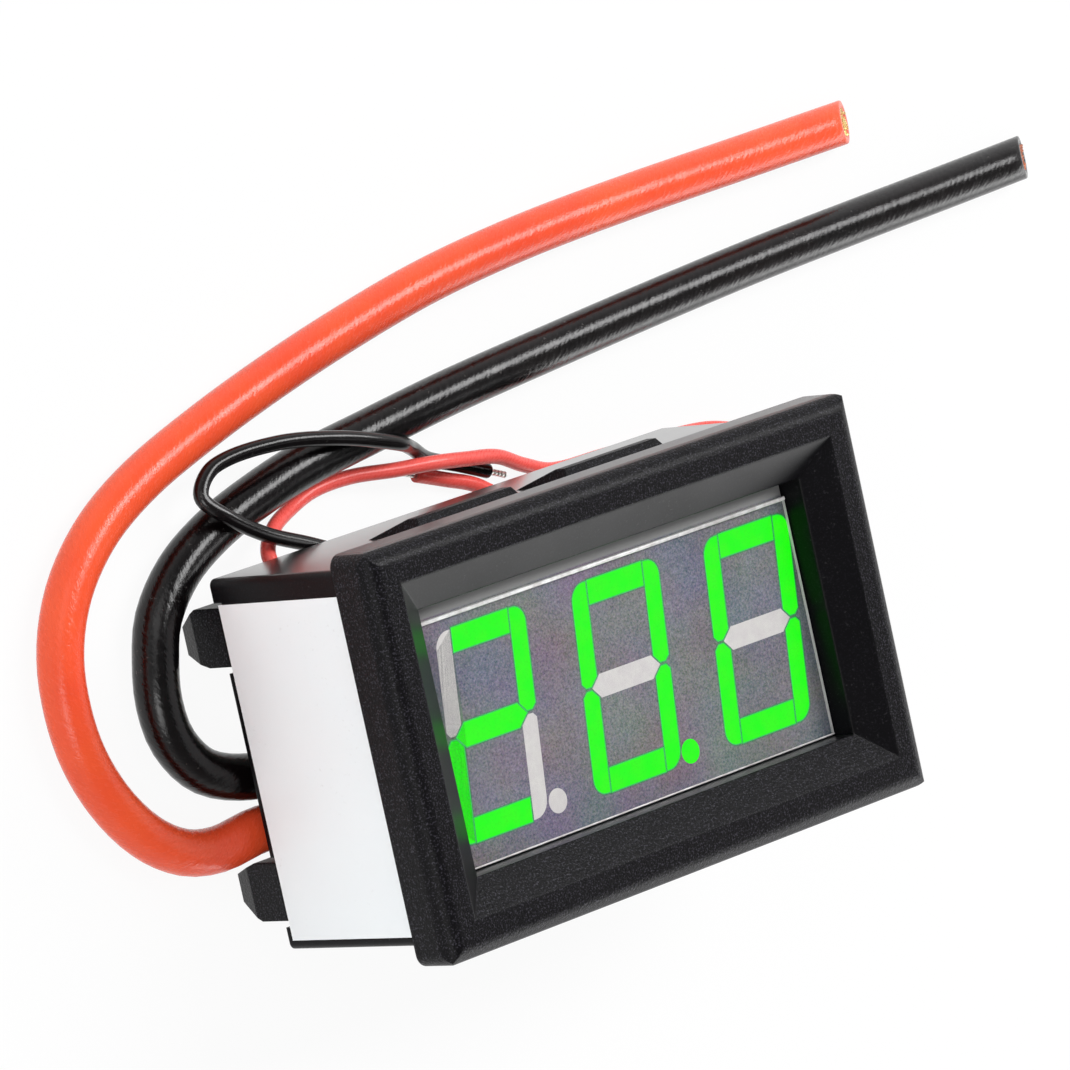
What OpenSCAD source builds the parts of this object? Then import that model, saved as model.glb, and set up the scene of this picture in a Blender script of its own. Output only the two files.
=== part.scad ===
// Digital panel meter: a snap-in case with a three-digit display, lying on its back.
// The face looks along +Z and the hook tips stand on z = 0. Millimetres.

/* [Bezel] */
// Width of the front bezel
bezel_w = 48; // [47:0.5:54]
// Height of the front bezel
bezel_h = 29; // [28.5:0.5:34]
// Thickness of the bezel flange
flange_t = 3.7; // [3.5:0.1:4.5]
// Radius rolled over the front edge of the bezel
edge_r = 1.3; // [0.6:0.1:1.8]
// Radius of the bezel's corners, seen from the front
corner_r = 1; // [0.6:0.1:2]
// Width of the slope that falls from the bezel to the window
slope_run = 2.4; // [1.5:0.1:2.6]
// Depth of that slope
slope_drop = 1.6; // [0.8:0.1:2.2]
// Depth of the display face below the front
window_depth = 3.4; // [2.8:0.1:3.4]

/* [Case] */
// Lip by which the bezel overhangs the case walls
flange_lip = 1.25; // [0.8:0.05:1.5]
// Thickness of the case walls
wall = 1.4; // [1:0.1:1.6]
// Depth from the front to the rear edge of the walls
case_depth = 17.9; // [17.5:0.1:22]
// Length of the board hooks behind the walls
hook_len = 5; // [4.8:0.1:6.5]
// Width of each board hook
hook_w = 4.2; // [3:0.1:5]
// Gap between the two hooks of one side
hook_gap = 14; // [13.6:0.2:14.6]
// Thickness of the hook claws
hook_t = 2; // [1.6:0.1:2.4]
// Depth of the notches in the side walls round the hooks
notch_drop = 0.8; // [0.4:0.1:1.2]
// Length of each snap ridge
ridge_len = 10.4; // [7:0.1:11]
// Distance between the middles of the two ridges of one wall
ridge_pitch = 14.5; // [13:0.5:20]
// Height of a snap ridge above its wall
ridge_rise = 1.15; // [0.6:0.05:1.5]
// Room for the panel between the flange and the ridges
panel_room = 3.3; // [2:0.1:4]
// Height of the blank label on the left wall
label_h = 24; // [12:0.5:24]
// Length of the label, from front to back
label_len = 13.7; // [8:0.1:13.9]
// Thickness of the label
label_t = 0.1; // [0.05:0.05:0.2]

/* [Display] */
// Margin of the display module's face beside its digits
display_rim = 1.25; // [1:0.05:1.6]
// Height of the display module
display_h = 18.6; // [18.2:0.1:19]
// Depth of the display module
display_t = 8; // [7:0.1:8.4]
// Gap between the module and the window
display_gap = 0.1; // [0.05:0.05:0.2]
// Thickness of the tinted film on the display
film_t = 0.25; // [0.15:0.05:0.4]
// Height of the digits
digit_h = 14.7; // [12:0.1:15.4]
// Width of the digits
digit_w = 8.6; // [7:0.1:9]
// Distance from digit to digit
digit_pitch = 13.25; // [12:0.05:13.5]
// Lean of the digits, as run over rise
digit_slant = 0.128; // [0:0.002:0.16]
// Width of the upright segments
upright_w = 1.45; // [1:0.05:1.7]
// Width of the level segments
level_w = 1.65; // [1:0.05:1.8]
// Gap between two segments
segment_gap = 0.14; // [0.08:0.02:0.24]
// Diameter of the decimal points
point_d = 1.75; // [1.2:0.05:1.9]
// Diameter of the display's pins
pin_d = 0.5; // [0.4:0.05:0.6]
// Distance from pin to pin in a row
pin_pitch = 2.54; // [2:0.02:2.6]
// Distance between the two rows of pins
pin_rows = 15.24; // [14.8:0.04:15.6]

/* [Board] */
// Thickness of the main board
board_t = 1.6; // [1.2:0.1:2]
// Gap between the board's edge and the case walls
board_gap = 0.35; // [0.2:0.05:0.45]
// Gap between the walls' rear edge and the board's rear face
board_sink = 0.1; // [0:0.05:0.3]
// Diameter of the shunt wire
shunt_d = 1.5; // [1:0.1:1.8]
// Diameter of the trimmer's rotor
rotor_d = 2.8; // [2:0.1:3.2]
// Side of the trimmer's square body
trimmer_side = 4.2; // [3.8:0.1:4.6]
// Height of the trimmer's body off the board
trimmer_t = 2.1; // [1.8:0.1:2.6]
// Radial running gap round the trimmer's rotor
rotor_gap = 0.05; // [0.03:0.01:0.09]

/* [Leads] */
// Outer diameter of the two current leads
lead_d = 3.3; // [2.6:0.1:3.3]
// Diameter of their copper core
core_d = 1.9; // [1.2:0.1:2]
// Outer diameter of the two supply leads
supply_d = 1.1; // [0.8:0.1:1.1]
// Diameter of their tinned core
supply_core_d = 0.5; // [0.3:0.1:0.6]
// Length of the tinned tips of the supply leads
tip_len = 1.6; // [1:0.1:3]

/* [Hidden] */
$fn = 48;

eps = 0.01;
beyond = 1; // how far a cutter runs past the face it opens

// Levels, from the table up
rear_z = hook_len;                 // rear edge of the walls
front_z = rear_z + case_depth;     // front face of the bezel
flange_z = front_z - flange_t;     // face that seats on the panel
film_z = front_z - window_depth;   // front face of the film
display_z = film_z - film_t;       // front face of the display module
display_back_z = display_z - display_t;
board_rear_z = rear_z - board_sink;
board_front_z = board_rear_z + board_t;

// Case
case_w = bezel_w - 2 * flange_lip;
case_h = bezel_h - 2 * flange_lip;
inner_w = case_w - 2 * wall;
inner_h = case_h - 2 * wall;
case_corner_r = 0.5;
digits = 3;
display_w = (digits - 1) * digit_pitch + digit_w + 2 * display_rim;
window_w = display_w + 2 * display_gap;
window_h = display_h + 2 * display_gap;
recess_w = window_w + 2 * slope_run;
recess_h = window_h + 2 * slope_run;
collar_t = 1;
collar_len = 2.5;
rib_w = 1.2;
rib_lap = 0.7;                     // how far a rib reaches under the board
rib_x = [-15, 0, 15];
hook_inset = 0.25;                 // hook's outer face inside the wall's
hook_x = case_w / 2 - hook_inset;
hook_tip_w = hook_w * 0.43;
hook_tip_t = hook_t * 0.5;
hook_y = hook_gap / 2;
notch_gap = 0.4;
ridge_back = 5.4;                  // length of a ridge from front to back
ridge_taper = 0.6;
label_edge = [0.1, 1.8];           // label's distance from the flange and from the top

// Board
board_w = inner_w - 2 * board_gap;
board_h = inner_h - 2 * board_gap;
pins_per_row = 6;
pin_hole_gap = 0.15;
pin_stub = 1.1;
solder_w = 0.55;
solder_rise = 0.9;

// Display
base_t = 1.2;
base_rim = 0.8;
film_short = 1.1;                  // strip above the film
digit_y = -0.25;                   // middle of the digits above the window's middle
digit_x0 = 0.5;                    // middle of the second digit
outer_x = digit_w / 2;
inner_x = outer_x - upright_w;
half_h = digit_h / 2;
end_r = 1.15;                      // rounding at the outer end of an upright
tip_x = inner_x + 0.55;
point_x = outer_x + point_d / 2 + segment_gap;
point_y = -half_h + 0.75;

// Rear parts of the board: places
shunt_x = -7.9;
controller_at = [3.2, 0];
regulator_at = [13.4, -2.4];
diode_at = [13.4, -8.2];
tantalum_at = [-13.6, 4.2];
trimmer_at = [13.4, 5.6];
resistor_x = [-4.2, -1.6, 1.0, 3.6, 6.2];
resistor_y = 5;
capacitor_y = [-1.7, 1.7];
capacitor_x = -3.9;

// Rear parts of the board: sizes, as length, width and height where there are three
chip_draft = 0.3;                  // by how much a moulded body narrows
controller_size = [9.9, 3.9, 1.5];
controller_lift = 0.15;
legs_per_side = 8;
leg_pitch = 1.27;
leg_w = 0.4;
leg_t = 0.2;
leg_top = 1;
leg_knee = 0.45;
leg_reach = 1.1;
mark_d = 0.9;
mark_depth = 0.15;
regulator_size = [4.5, 2.5, 1.4];
regulator_pitch = 1.5;
regulator_leg = [0.4, 0.95, 0.4];
regulator_tab = [1.6, 0.75, 0.4];
body_lift = 0.1;
diode_size = [4.3, 2.6, 2];
diode_strap_w = 1.5;
tantalum_size = [3.5, 2.8, 1.8];
tantalum_strap_w = 2.2;
strap_t = 0.25;
resistor_size = [1.6, 0.8, 0.5];
resistor_end = 0.3;
capacitor_size = [2, 1.25, 1];
capacitor_end = 0.4;
rotor_well = 0.9;
rotor_lift = 0.02;                 // rotor's seat above the trimmer's floor
rotor_head_t = 1.1;
rotor_slot = 0.45;
stem_d = 1;
trimmer_floor = 0.4;
shunt_bend = 1.35;
shunt_drop = 2.1;                  // where the shunt's corners start
shunt_end = 0.6;                   // by how much it comes through the board
shunt_solder_w = 0.7;
shunt_solder_rise = 1;
mound_len = 3.4;
mound_inset = 0.1;
mound_foot = 0.75;
supply_mound = [1, 0.5, 1.1];      // foot and top radius, height

// Routes of the four leads, from the board outwards
red_route = [[-13, -5.6, 3.2], [-16, -5.6, 3.2], [-20.8, -4.95, 2.5], [-24.5, -5.4, 1.8], [-27.5, -4.8, 1.65],
    [-30.5, -2.8, 1.65], [-33, 0.5, 1.65], [-34.5, 4.5, 1.65], [-34.7, 9, 1.65], [-33.8, 12.5, 1.65],
    [-31.8, 15.7, 1.65], [-28.5, 18.6, 1.65], [-24, 20.9, 1.65], [-18, 22.9, 1.65], [-11, 24.8, 1.65],
    [-3, 26.6, 1.65], [6, 28.2, 1.65], [16, 29.2, 1.65], [27, 29.7, 1.65], [39, 30, 1.65], [50.4, 30.3, 1.65]];
black_route = [[-13, -1.4, 3.2], [-16, -1.4, 3.2], [-20.8, -1.2, 2.5], [-24.2, 0.1, 1.8], [-26.2, 2.7, 1.65],
    [-26.7, 5.6, 1.65], [-26.2, 8.5, 1.65], [-25.1, 11.3, 1.65], [-22.4, 14, 1.65], [-18.7, 15.9, 1.65],
    [-14.5, 17.2, 1.65], [-9.5, 18.3, 1.65], [-3, 19.1, 1.65], [6, 20.1, 1.65], [16, 20.9, 1.65],
    [27, 21.7, 1.65], [38, 22.4, 1.65], [49, 22.9, 1.65], [59, 23.3, 1.65], [68.4, 23.7, 1.65]];
supply_red_route = [[-13.2, 9, 4.3], [-15, 11.2, 4], [-15.4, 13.2, 3.2], [-13.8, 14.7, 2.3], [-11, 15.6, 1.3],
    [-8, 16.3, 0.9], [-4.5, 16.4, 1], [-1, 16, 1.8], [2.2, 15.7, 2.45], [5.5, 15.2, 2.2],
    [8.8, 14.6, 1.8], [11.8, 13.3, 1.1], [15, 12.2, 0.6], [20, 12, 0.55], [26.5, 11.8, 0.55],
    [32, 11.2, 0.55], [36.3, 9.2, 0.55], [37.6, 5.8, 0.55], [35.5, 3, 0.55], [30.5, 2.2, 0.55],
    [24.5, 2.8, 0.55], [18.5, 4.9, 0.55], [13.5, 8, 0.55], [10.2, 10.9, 0.55], [7.4, 12.9, 0.55],
    [4.6, 14, 0.55], [1.9, 15, 0.55]];
supply_black_route = [[-6.6, 10.2, 4.3], [-9, 11.6, 4.3], [-12.2, 13.2, 4.2], [-16, 14.9, 4.1], [-19, 16.9, 4],
    [-20.4, 18.7, 3.4], [-18.3, 20.4, 3], [-13, 20.7, 3.6], [-7.3, 19.7, 4.1], [-2.1, 18.1, 3.9],
    [0.6, 17.2, 2.2], [3.4, 15.8, 0.6], [6.2, 14.7, 0.55], [8.8, 13.6, 0.55]];
lead_sides = 8;
strand_out = 0.3;
strand_rings = 2;
supply_core_len = 1.2;
shunt_y = [red_route[0][1], black_route[0][1]];

// ---------- helpers ----------

function lean(p) = [p[0] + digit_slant * p[1], p[1]];
function arc(c, r, a0, a1, n = 6) = [for (i = [0:n]) let (a = a0 + (a1 - a0) * i / n) c + r * [cos(a), sin(a)]];
function flip(pts, sx, sy) = [for (p = pts) [sx * p[0], sy * p[1]]];
function unit(v) = v / norm(v);
function heading(route, i) =
    unit(route[min(i + 1, len(route) - 1)] - route[max(i - 1, 0)]);
// One ring of a tube: lead_sides points round the route's point i
function ring(route, i, r) =
    let (t = heading(route, i), s = unit(cross(t, [0, 0, 1])), u = cross(s, t))
    [for (k = [0:lead_sides - 1]) let (a = 360 * (k + 0.5) / lead_sides) route[i] + r * (cos(a) * s + sin(a) * u)];

// A closed tube swept along a route
module tube(route, d) {
    n = lead_sides;
    last = len(route) - 1;
    points = [for (i = [0:last]) each ring(route, i, d / 2)];
    sides = [for (i = [0:last - 1], k = [0:n - 1])
        [i * n + k, i * n + (k + 1) % n, (i + 1) * n + (k + 1) % n, (i + 1) * n + k]];
    caps = [[for (k = [n - 1:-1:0]) k], [for (k = [0:n - 1]) last * n + k]];
    polyhedron(points, concat(sides, caps));
}

// A rod that goes on from the end b of the stretch a-b
module rod_on(a, b, d, length) {
    v = b - a;
    translate(b)
        rotate([0, acos(v[2] / norm(v)), atan2(v[1], v[0])])
            cylinder(d = d, h = length, $fn = 24);
}

module round_rect(w, h, r) {
    square([w - 2 * r, h], center = true);
    square([w, h - 2 * r], center = true);
    for (x = [-1, 1], y = [-1, 1])
        translate([x * (w / 2 - r), y * (h / 2 - r)]) circle(r);
}

// Strip of width w whose far edge (at y = t) is rolled by r
module rolled_strip(w, t, r) {
    translate([-w / 2, 0]) square([w, t - r]);
    translate([-w / 2 + r, 0]) square([w - 2 * r, t]);
    for (x = [-1, 1]) translate([x * (w / 2 - r), t - r]) circle(r);
}

// Four-sided funnel, w0 by h0 at z = 0 and w1 by h1 at z = t
module funnel(w0, h0, w1, h1, t) {
    intersection() {
        rotate([90, 0, 0]) linear_extrude(2 * h1, center = true)
            polygon([[-w0 / 2, 0], [w0 / 2, 0], [w1 / 2, t], [-w1 / 2, t]]);
        rotate([90, 0, 90]) linear_extrude(2 * w1, center = true)
            polygon([[-h0 / 2, 0], [h0 / 2, 0], [h1 / 2, t], [-h1 / 2, t]]);
    }
}

// Places a child on the board's rear face, with its own +Z pointing away from the board
module on_board(at) {
    translate([at[0], at[1], board_rear_z]) rotate([180, 0, 0]) children();
}

// ---------- case ----------

module bezel() {
    translate([0, 0, flange_z]) intersection() {
        linear_extrude(flange_t) round_rect(bezel_w, bezel_h, corner_r);
        rotate([90, 0, 0]) linear_extrude(bezel_h, center = true) rolled_strip(bezel_w, flange_t, edge_r);
        rotate([90, 0, 90]) linear_extrude(bezel_w, center = true) rolled_strip(bezel_h, flange_t, edge_r);
    }
}

module snap_ridge() {
    top = case_h / 2;
    foot_z = flange_z - panel_room;
    intersection() {
        rotate([90, 0, 90]) linear_extrude(ridge_len, center = true)
            polygon([[top - eps, foot_z], [top, foot_z], [top + ridge_rise, foot_z - 0.7],
                [top + ridge_rise, foot_z - 1.6], [top, foot_z - ridge_back], [top - eps, foot_z - ridge_back]]);
        linear_extrude(front_z)
            polygon([[-ridge_len / 2, top - eps], [ridge_len / 2, top - eps],
                [ridge_len / 2 - ridge_taper, top + ridge_rise], [-ridge_len / 2 + ridge_taper, top + ridge_rise]]);
    }
}

// Hook at +X, +Y: a tongue of the side wall with a claw that laps over the board
module hook() {
    mid = hook_y + hook_w / 2;
    root_z = rear_z + notch_drop;
    intersection() {
        rotate([90, 0, 0]) translate([0, 0, -mid - hook_w]) linear_extrude(2 * hook_w)
            polygon([[hook_x, root_z + beyond], [hook_x, 1.9], [hook_x - 0.7, 0],
                [hook_x - 0.7 - hook_tip_t, 0], [hook_x - hook_t, 2.6],
                [hook_x - hook_t, board_rear_z], [inner_w / 2, board_rear_z], [inner_w / 2, root_z + beyond]]);
        rotate([90, 0, 90]) linear_extrude(case_w)
            polygon([[mid - hook_w / 2, root_z + beyond], [mid - hook_w / 2, 2.8], [mid - hook_tip_w / 2 - 0.3, 0],
                [mid + hook_tip_w / 2 - 0.1, 0], [mid + hook_w / 2, 2.4], [mid + hook_w / 2, root_z + beyond]]);
    }
}

module case_mass() {
    bezel();
    translate([0, 0, rear_z]) linear_extrude(flange_z - rear_z + beyond)
        round_rect(case_w, case_h, case_corner_r);
    for (x = [-1, 1] * ridge_pitch / 2, m = [0, 1])
        mirror([0, m, 0]) translate([x, 0, 0]) snap_ridge();
}

module case_space() {
    // room for the board and the display
    translate([0, 0, rear_z - beyond]) linear_extrude(flange_z - rear_z + beyond)
        square([inner_w, inner_h], center = true);
    // window and the slope round it
    linear_extrude(front_z) square([window_w, window_h], center = true);
    translate([0, 0, front_z - slope_drop])
        funnel(window_w, window_h, recess_w, recess_h, slope_drop);
    translate([0, 0, front_z - eps])
        linear_extrude(beyond) square([recess_w, recess_h], center = true);
    // notches round the hooks
    for (x = [-1, 1], y = [-1, 1])
        translate([x * case_w / 2, y * (hook_y + hook_w / 2), rear_z])
            cube([2 * wall + beyond, hook_w + 2 * notch_gap, 2 * notch_drop], center = true);
    // shallow pocket for the label
    label_block(beyond);
}

// The label's own block, its outer face proud of the wall by out
module label_block(out) {
    translate([-case_w / 2 - out, case_h / 2 - label_edge[1] - label_h, flange_z - label_edge[0] - label_len])
        cube([label_t + out, label_h, label_len]);
}

module case() {
    color("#232126") {
        difference() {
            case_mass();
            case_space();
        }
        // collar that locates the display
        translate([0, 0, flange_z - collar_len]) linear_extrude(collar_len) difference() {
            square([window_w + 2 * collar_t, window_h + 2 * collar_t], center = true);
            square([window_w, window_h], center = true);
        }
        // ribs that the board seats on
        for (x = rib_x, m = [0, 1]) mirror([0, m, 0])
            translate([x - rib_w / 2, board_h / 2 - rib_lap, board_front_z])
                cube([rib_w, inner_h / 2 - board_h / 2 + rib_lap + wall / 2, flange_z - board_front_z]);
        for (m = [0, 1], k = [0, 1]) mirror([m, 0, 0]) mirror([0, k, 0]) hook();
    }
}

module side_label() { color("white") label_block(0); }

// ---------- display ----------

// Outlines of a digit's segments, about the digit's middle and before they lean
level_top = [[-inner_x + segment_gap, half_h - level_w], [inner_x - segment_gap, half_h - level_w],
    [inner_x - segment_gap, half_h], [-inner_x + segment_gap, half_h]];
level_mid = let (s = level_w / 2)
    [[-tip_x, 0], [-tip_x + s, -s], [tip_x - s, -s], [tip_x, 0], [tip_x - s, s], [-tip_x + s, s]];
upright = let (g = segment_gap, low = g / 2 + 0.08)
    concat([[inner_x, half_h - 0.05]],
        arc([outer_x - end_r, half_h - 0.05 - end_r], end_r, 90, 0),
        [[outer_x, low + 0.35], [outer_x - 0.35, low], [tip_x + 1.42 * g - low, low],
            [inner_x, tip_x - inner_x + 1.42 * g]]);

function segment(name) =
    name == "a" ? level_top :
    name == "b" ? upright :
    name == "c" ? flip(upright, 1, -1) :
    name == "d" ? flip(level_top, 1, -1) :
    name == "e" ? flip(upright, -1, -1) :
    name == "f" ? flip(upright, -1, 1) : level_mid;

module segments(digit, names) {
    translate([digit_x0 + (digit - 2) * digit_pitch, digit_y])
        for (s = names) polygon([for (p = segment(s)) lean(p)]);
}

module point(digit) {
    translate([digit_x0 + (digit - 2) * digit_pitch + point_x, digit_y]) translate(lean([0, point_y]))
        circle(d = point_d);
}

// Light pipes of moulded resin, flush with the face of the housing
module pipes() {
    translate([0, 0, display_back_z + base_t]) linear_extrude(display_t - base_t) children();
}

module display_housing() {
    color("#8b8890") difference() {
        translate([-display_w / 2, -display_h / 2, display_back_z]) cube([display_w, display_h, display_t]);
        translate([0, 0, display_back_z]) linear_extrude(display_t + beyond) {
            for (digit = [1:digits]) segments(digit, "abcdefg");
            for (digit = [1, 2]) point(digit);
        }
        translate([-display_w / 2 + base_rim, -display_h / 2 + base_rim, display_back_z - beyond])
            cube([display_w - 2 * base_rim, display_h - 2 * base_rim, base_t + beyond]);
    }
}

module digit_1_lit() { color("lime") pipes() segments(1, "abdeg"); }
module digit_1_unlit() { color("gainsboro") pipes() segments(1, "cf"); }
module digit_2_lit() { color("lime") pipes() segments(2, "abcdef"); }
module digit_2_unlit() { color("gainsboro") pipes() segments(2, "g"); }
module digit_3_lit() { color("lime") pipes() segments(3, "abcdef"); }
module digit_3_unlit() { color("gainsboro") pipes() segments(3, "g"); }
module point_lit() { color("lime") pipes() point(2); }
module point_unlit() { color("gainsboro") pipes() point(1); }

module window_film() {
    color("#8e8b95", 0.4) translate([-display_w / 2, -display_h / 2, display_z])
        cube([display_w, display_h - film_short, film_t]);
}

module display_base() {
    color("#2f5d3a") translate([-display_w / 2 + base_rim, -display_h / 2 + base_rim, display_back_z])
        cube([display_w - 2 * base_rim, display_h - 2 * base_rim, base_t]);
}

module at_pins() {
    for (i = [0:pins_per_row - 1], y = [-1, 1] * pin_rows / 2)
        translate([(i - (pins_per_row - 1) / 2) * pin_pitch, y]) children();
}

module display_pins() {
    color("silver") at_pins()
        translate([0, 0, board_rear_z - pin_stub])
            cylinder(d = pin_d, h = display_back_z - board_rear_z + pin_stub, $fn = 16);
}

// ---------- board ----------

module main_board() {
    color("#1f4a34") translate([0, 0, board_rear_z]) linear_extrude(board_t) difference() {
        square([board_w, board_h], center = true);
        at_pins() circle(d = pin_d + 2 * pin_hole_gap, $fn = 24);
        for (y = shunt_y) translate([shunt_x, y]) circle(d = shunt_d + 2 * pin_hole_gap, $fn = 24);
    }
}

// Ring of solder that climbs a pin of diameter d
module fillet_ring(d, foot, rise) {
    rotate_extrude($fn = 24)
        polygon([[d / 2, 0], [d / 2 + foot, 0], [d / 2 + foot * 0.4, rise * 0.35], [d / 2 + foot * 0.1, rise],
            [d / 2, rise]]);
}

module pin_solder() {
    color("silver") at_pins() on_board([0, 0]) fillet_ring(pin_d, solder_w, solder_rise);
}

module shunt() {
    span = shunt_y[1] - shunt_y[0];
    corner_z = board_rear_z - shunt_drop;
    color("#b98a5a") translate([shunt_x, (shunt_y[0] + shunt_y[1]) / 2, 0]) {
        for (m = [0, 1]) mirror([0, m, 0]) {
            translate([0, span / 2, corner_z]) cylinder(d = shunt_d, h = board_front_z + shunt_end - corner_z);
            translate([0, span / 2 - shunt_bend, corner_z]) rotate([0, 90, 0])
                rotate_extrude(angle = 90) translate([shunt_bend, 0]) circle(d = shunt_d);
        }
        translate([0, 0, corner_z - shunt_bend]) rotate([90, 0, 0])
            cylinder(d = shunt_d, h = span - 2 * shunt_bend, center = true);
    }
}

module shunt_solder() {
    color("silver") for (y = shunt_y) on_board([shunt_x, y]) fillet_ring(shunt_d, shunt_solder_w, shunt_solder_rise);
}

// Mounds that bury the current leads' cores on their pads
module lead_solder() {
    r = core_d / 2;
    color("silver") for (route = [red_route, black_route]) {
        h = board_rear_z - route[0][2];
        translate(route[0]) translate([mound_inset, 0, 0]) rotate([90, 0, 90]) difference() {
            linear_extrude(mound_len)
                polygon([[-r - mound_foot, h], [r + mound_foot, h], [r * 1.2, -r * 0.3], [r * 0.65, -r * 0.85],
                    [-r * 0.65, -r * 0.85], [-r * 1.2, -r * 0.3]]);
            translate([0, 0, -beyond]) cylinder(d = core_d, h = mound_len + 2 * beyond, $fn = 32);
        }
    }
}

module bare_core(route, d, length) {
    rod_on(route[1], route[0], d, length);
}

module supply_solder() {
    color("silver") for (route = [supply_red_route, supply_black_route]) {
        at = route[0] + supply_core_len * unit(route[0] - route[1]);
        difference() {
            on_board([at[0], at[1]])
                cylinder(r1 = supply_mound[0], r2 = supply_mound[1], h = supply_mound[2], $fn = 32);
            bare_core(route, supply_core_d, supply_core_len);
        }
    }
}

// A moulded body that narrows away from the board
module chip_body(size, lift) {
    translate([0, 0, lift])
        funnel(size[0], size[1], size[0] - chip_draft, size[1] - chip_draft, size[2]);
}

module controller_body() {
    mark = [-controller_size[0] / 2 + 1.1, -controller_size[1] / 2 + 1.1];
    color("#26262a") on_board(controller_at) difference() {
        chip_body(controller_size, controller_lift);
        translate([mark[0], mark[1], controller_lift + controller_size[2] - mark_depth]) cylinder(d = mark_d, h = beyond);
    }
}

module controller_legs() {
    color("silver") on_board(controller_at)
        for (i = [0:legs_per_side - 1], m = [0, 1]) mirror([0, m, 0])
            translate([(i - (legs_per_side - 1) / 2) * leg_pitch, controller_size[1] / 2 - leg_t / 4, 0])
                rotate([90, 0, 90]) linear_extrude(leg_w, center = true)
                    polygon([[0, leg_top - leg_t], [leg_knee, leg_top - leg_t], [leg_knee, leg_t],
                        [leg_knee + leg_t / 4, 0], [leg_reach, 0], [leg_reach, leg_t],
                        [leg_knee + leg_t, leg_t], [leg_knee + leg_t * 0.85, leg_top], [0, leg_top]]);
}

module regulator_body() {
    color("#26262a") on_board(regulator_at) chip_body(regulator_size, body_lift);
}

module regulator_legs() {
    y = regulator_size[1] / 2;
    color("silver") on_board(regulator_at) {
        for (x = [-1, 0, 1] * regulator_pitch) translate([x - regulator_leg[0] / 2, y, 0]) cube(regulator_leg);
        translate([-regulator_tab[0] / 2, -y - regulator_tab[1], 0]) cube(regulator_tab);
    }
}

// Two end straps of width w, bent down the ends of a body and under it
module strap_terminals(size, w) {
    foot = size[0] * 0.22;
    top = size[2] * 0.6;
    lean_in = chip_draft / 2 * (top - body_lift) / size[2];
    for (m = [0, 1]) mirror([m, 0, 0]) translate([0, -w / 2, 0]) rotate([90, 0, 180])
        translate([-size[0] / 2 - strap_t, 0, 0]) linear_extrude(w)
            polygon([[0, 0], [strap_t + foot, 0], [strap_t + foot, body_lift], [strap_t, body_lift],
                [strap_t + lean_in, top], [0, top]]);
}

module diode_body() { color("#26262a") on_board(diode_at) chip_body(diode_size, body_lift); }
module diode_terminals() { color("silver") on_board(diode_at) strap_terminals(diode_size, diode_strap_w); }
module tantalum_body() { color("#d9a431") on_board(tantalum_at) chip_body(tantalum_size, body_lift); }
module tantalum_terminals() {
    color("silver") on_board(tantalum_at) strap_terminals(tantalum_size, tantalum_strap_w);
}

// Chip parts: a bar between two plated ends
module chip_bar(size, end) {
    translate([-size[0] / 2 + end, -size[1] / 2, 0]) cube([size[0] - 2 * end, size[1], size[2]]);
}

module chip_ends(size, end) {
    for (x = [-size[0] / 2, size[0] / 2 - end]) translate([x, -size[1] / 2, 0]) cube([end, size[1], size[2]]);
}

module at_resistors() {
    for (x = resistor_x, y = [-1, 1] * resistor_y) on_board([x, y]) children();
}

module at_capacitors() {
    for (y = capacitor_y) on_board([capacitor_x, y]) rotate(90) children();
}

module resistor_bodies() { color("#1c1c20") at_resistors() chip_bar(resistor_size, resistor_end); }
module resistor_terminals() { color("silver") at_resistors() chip_ends(resistor_size, resistor_end); }
module capacitor_bodies() { color("#b38b5e") at_capacitors() chip_bar(capacitor_size, capacitor_end); }
module capacitor_terminals() { color("silver") at_capacitors() chip_ends(capacitor_size, capacitor_end); }

module trimmer_body() {
    color("#2c5fae") on_board(trimmer_at) difference() {
        translate([-trimmer_side / 2, -trimmer_side / 2, 0]) cube([trimmer_side, trimmer_side, trimmer_t]);
        translate([0, 0, trimmer_t - rotor_well]) cylinder(d = rotor_d + 2 * rotor_gap, h = rotor_well + beyond);
        translate([0, 0, trimmer_floor]) cylinder(d = stem_d + 2 * rotor_gap, h = trimmer_t);
    }
}

// Calibration rotor: a slotted head on a short stem
module trimmer_rotor() {
    head_z = trimmer_t - rotor_well + rotor_lift;
    color("#c9c6bd") on_board(trimmer_at) difference() {
        union() {
            translate([0, 0, head_z]) cylinder(d = rotor_d, h = rotor_head_t);
            translate([0, 0, trimmer_floor + rotor_lift]) cylinder(d = stem_d, h = head_z - trimmer_floor);
        }
        for (a = [0, 90]) rotate(a) translate([0, 0, head_z + rotor_head_t])
            cube([rotor_d * 0.72, rotor_slot, rotor_head_t], center = true);
    }
}

// ---------- leads ----------

// Cut end of a stranded core: rings of six and twelve strands round one
module strand_bundle(route) {
    last = len(route) - 1;
    v = route[last] - route[last - 1];
    strand = core_d / 5;
    translate(route[last]) rotate([0, 90, atan2(v[1], v[0])]) {
        cylinder(d = strand, h = strand_out, $fn = 14);
        for (n = [1:strand_rings], k = [0:6 * n - 1])
            rotate(60 / n * k) translate([n * strand, 0])
                cylinder(d = strand * 0.98, h = strand_out, $fn = 14);
    }
}

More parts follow.
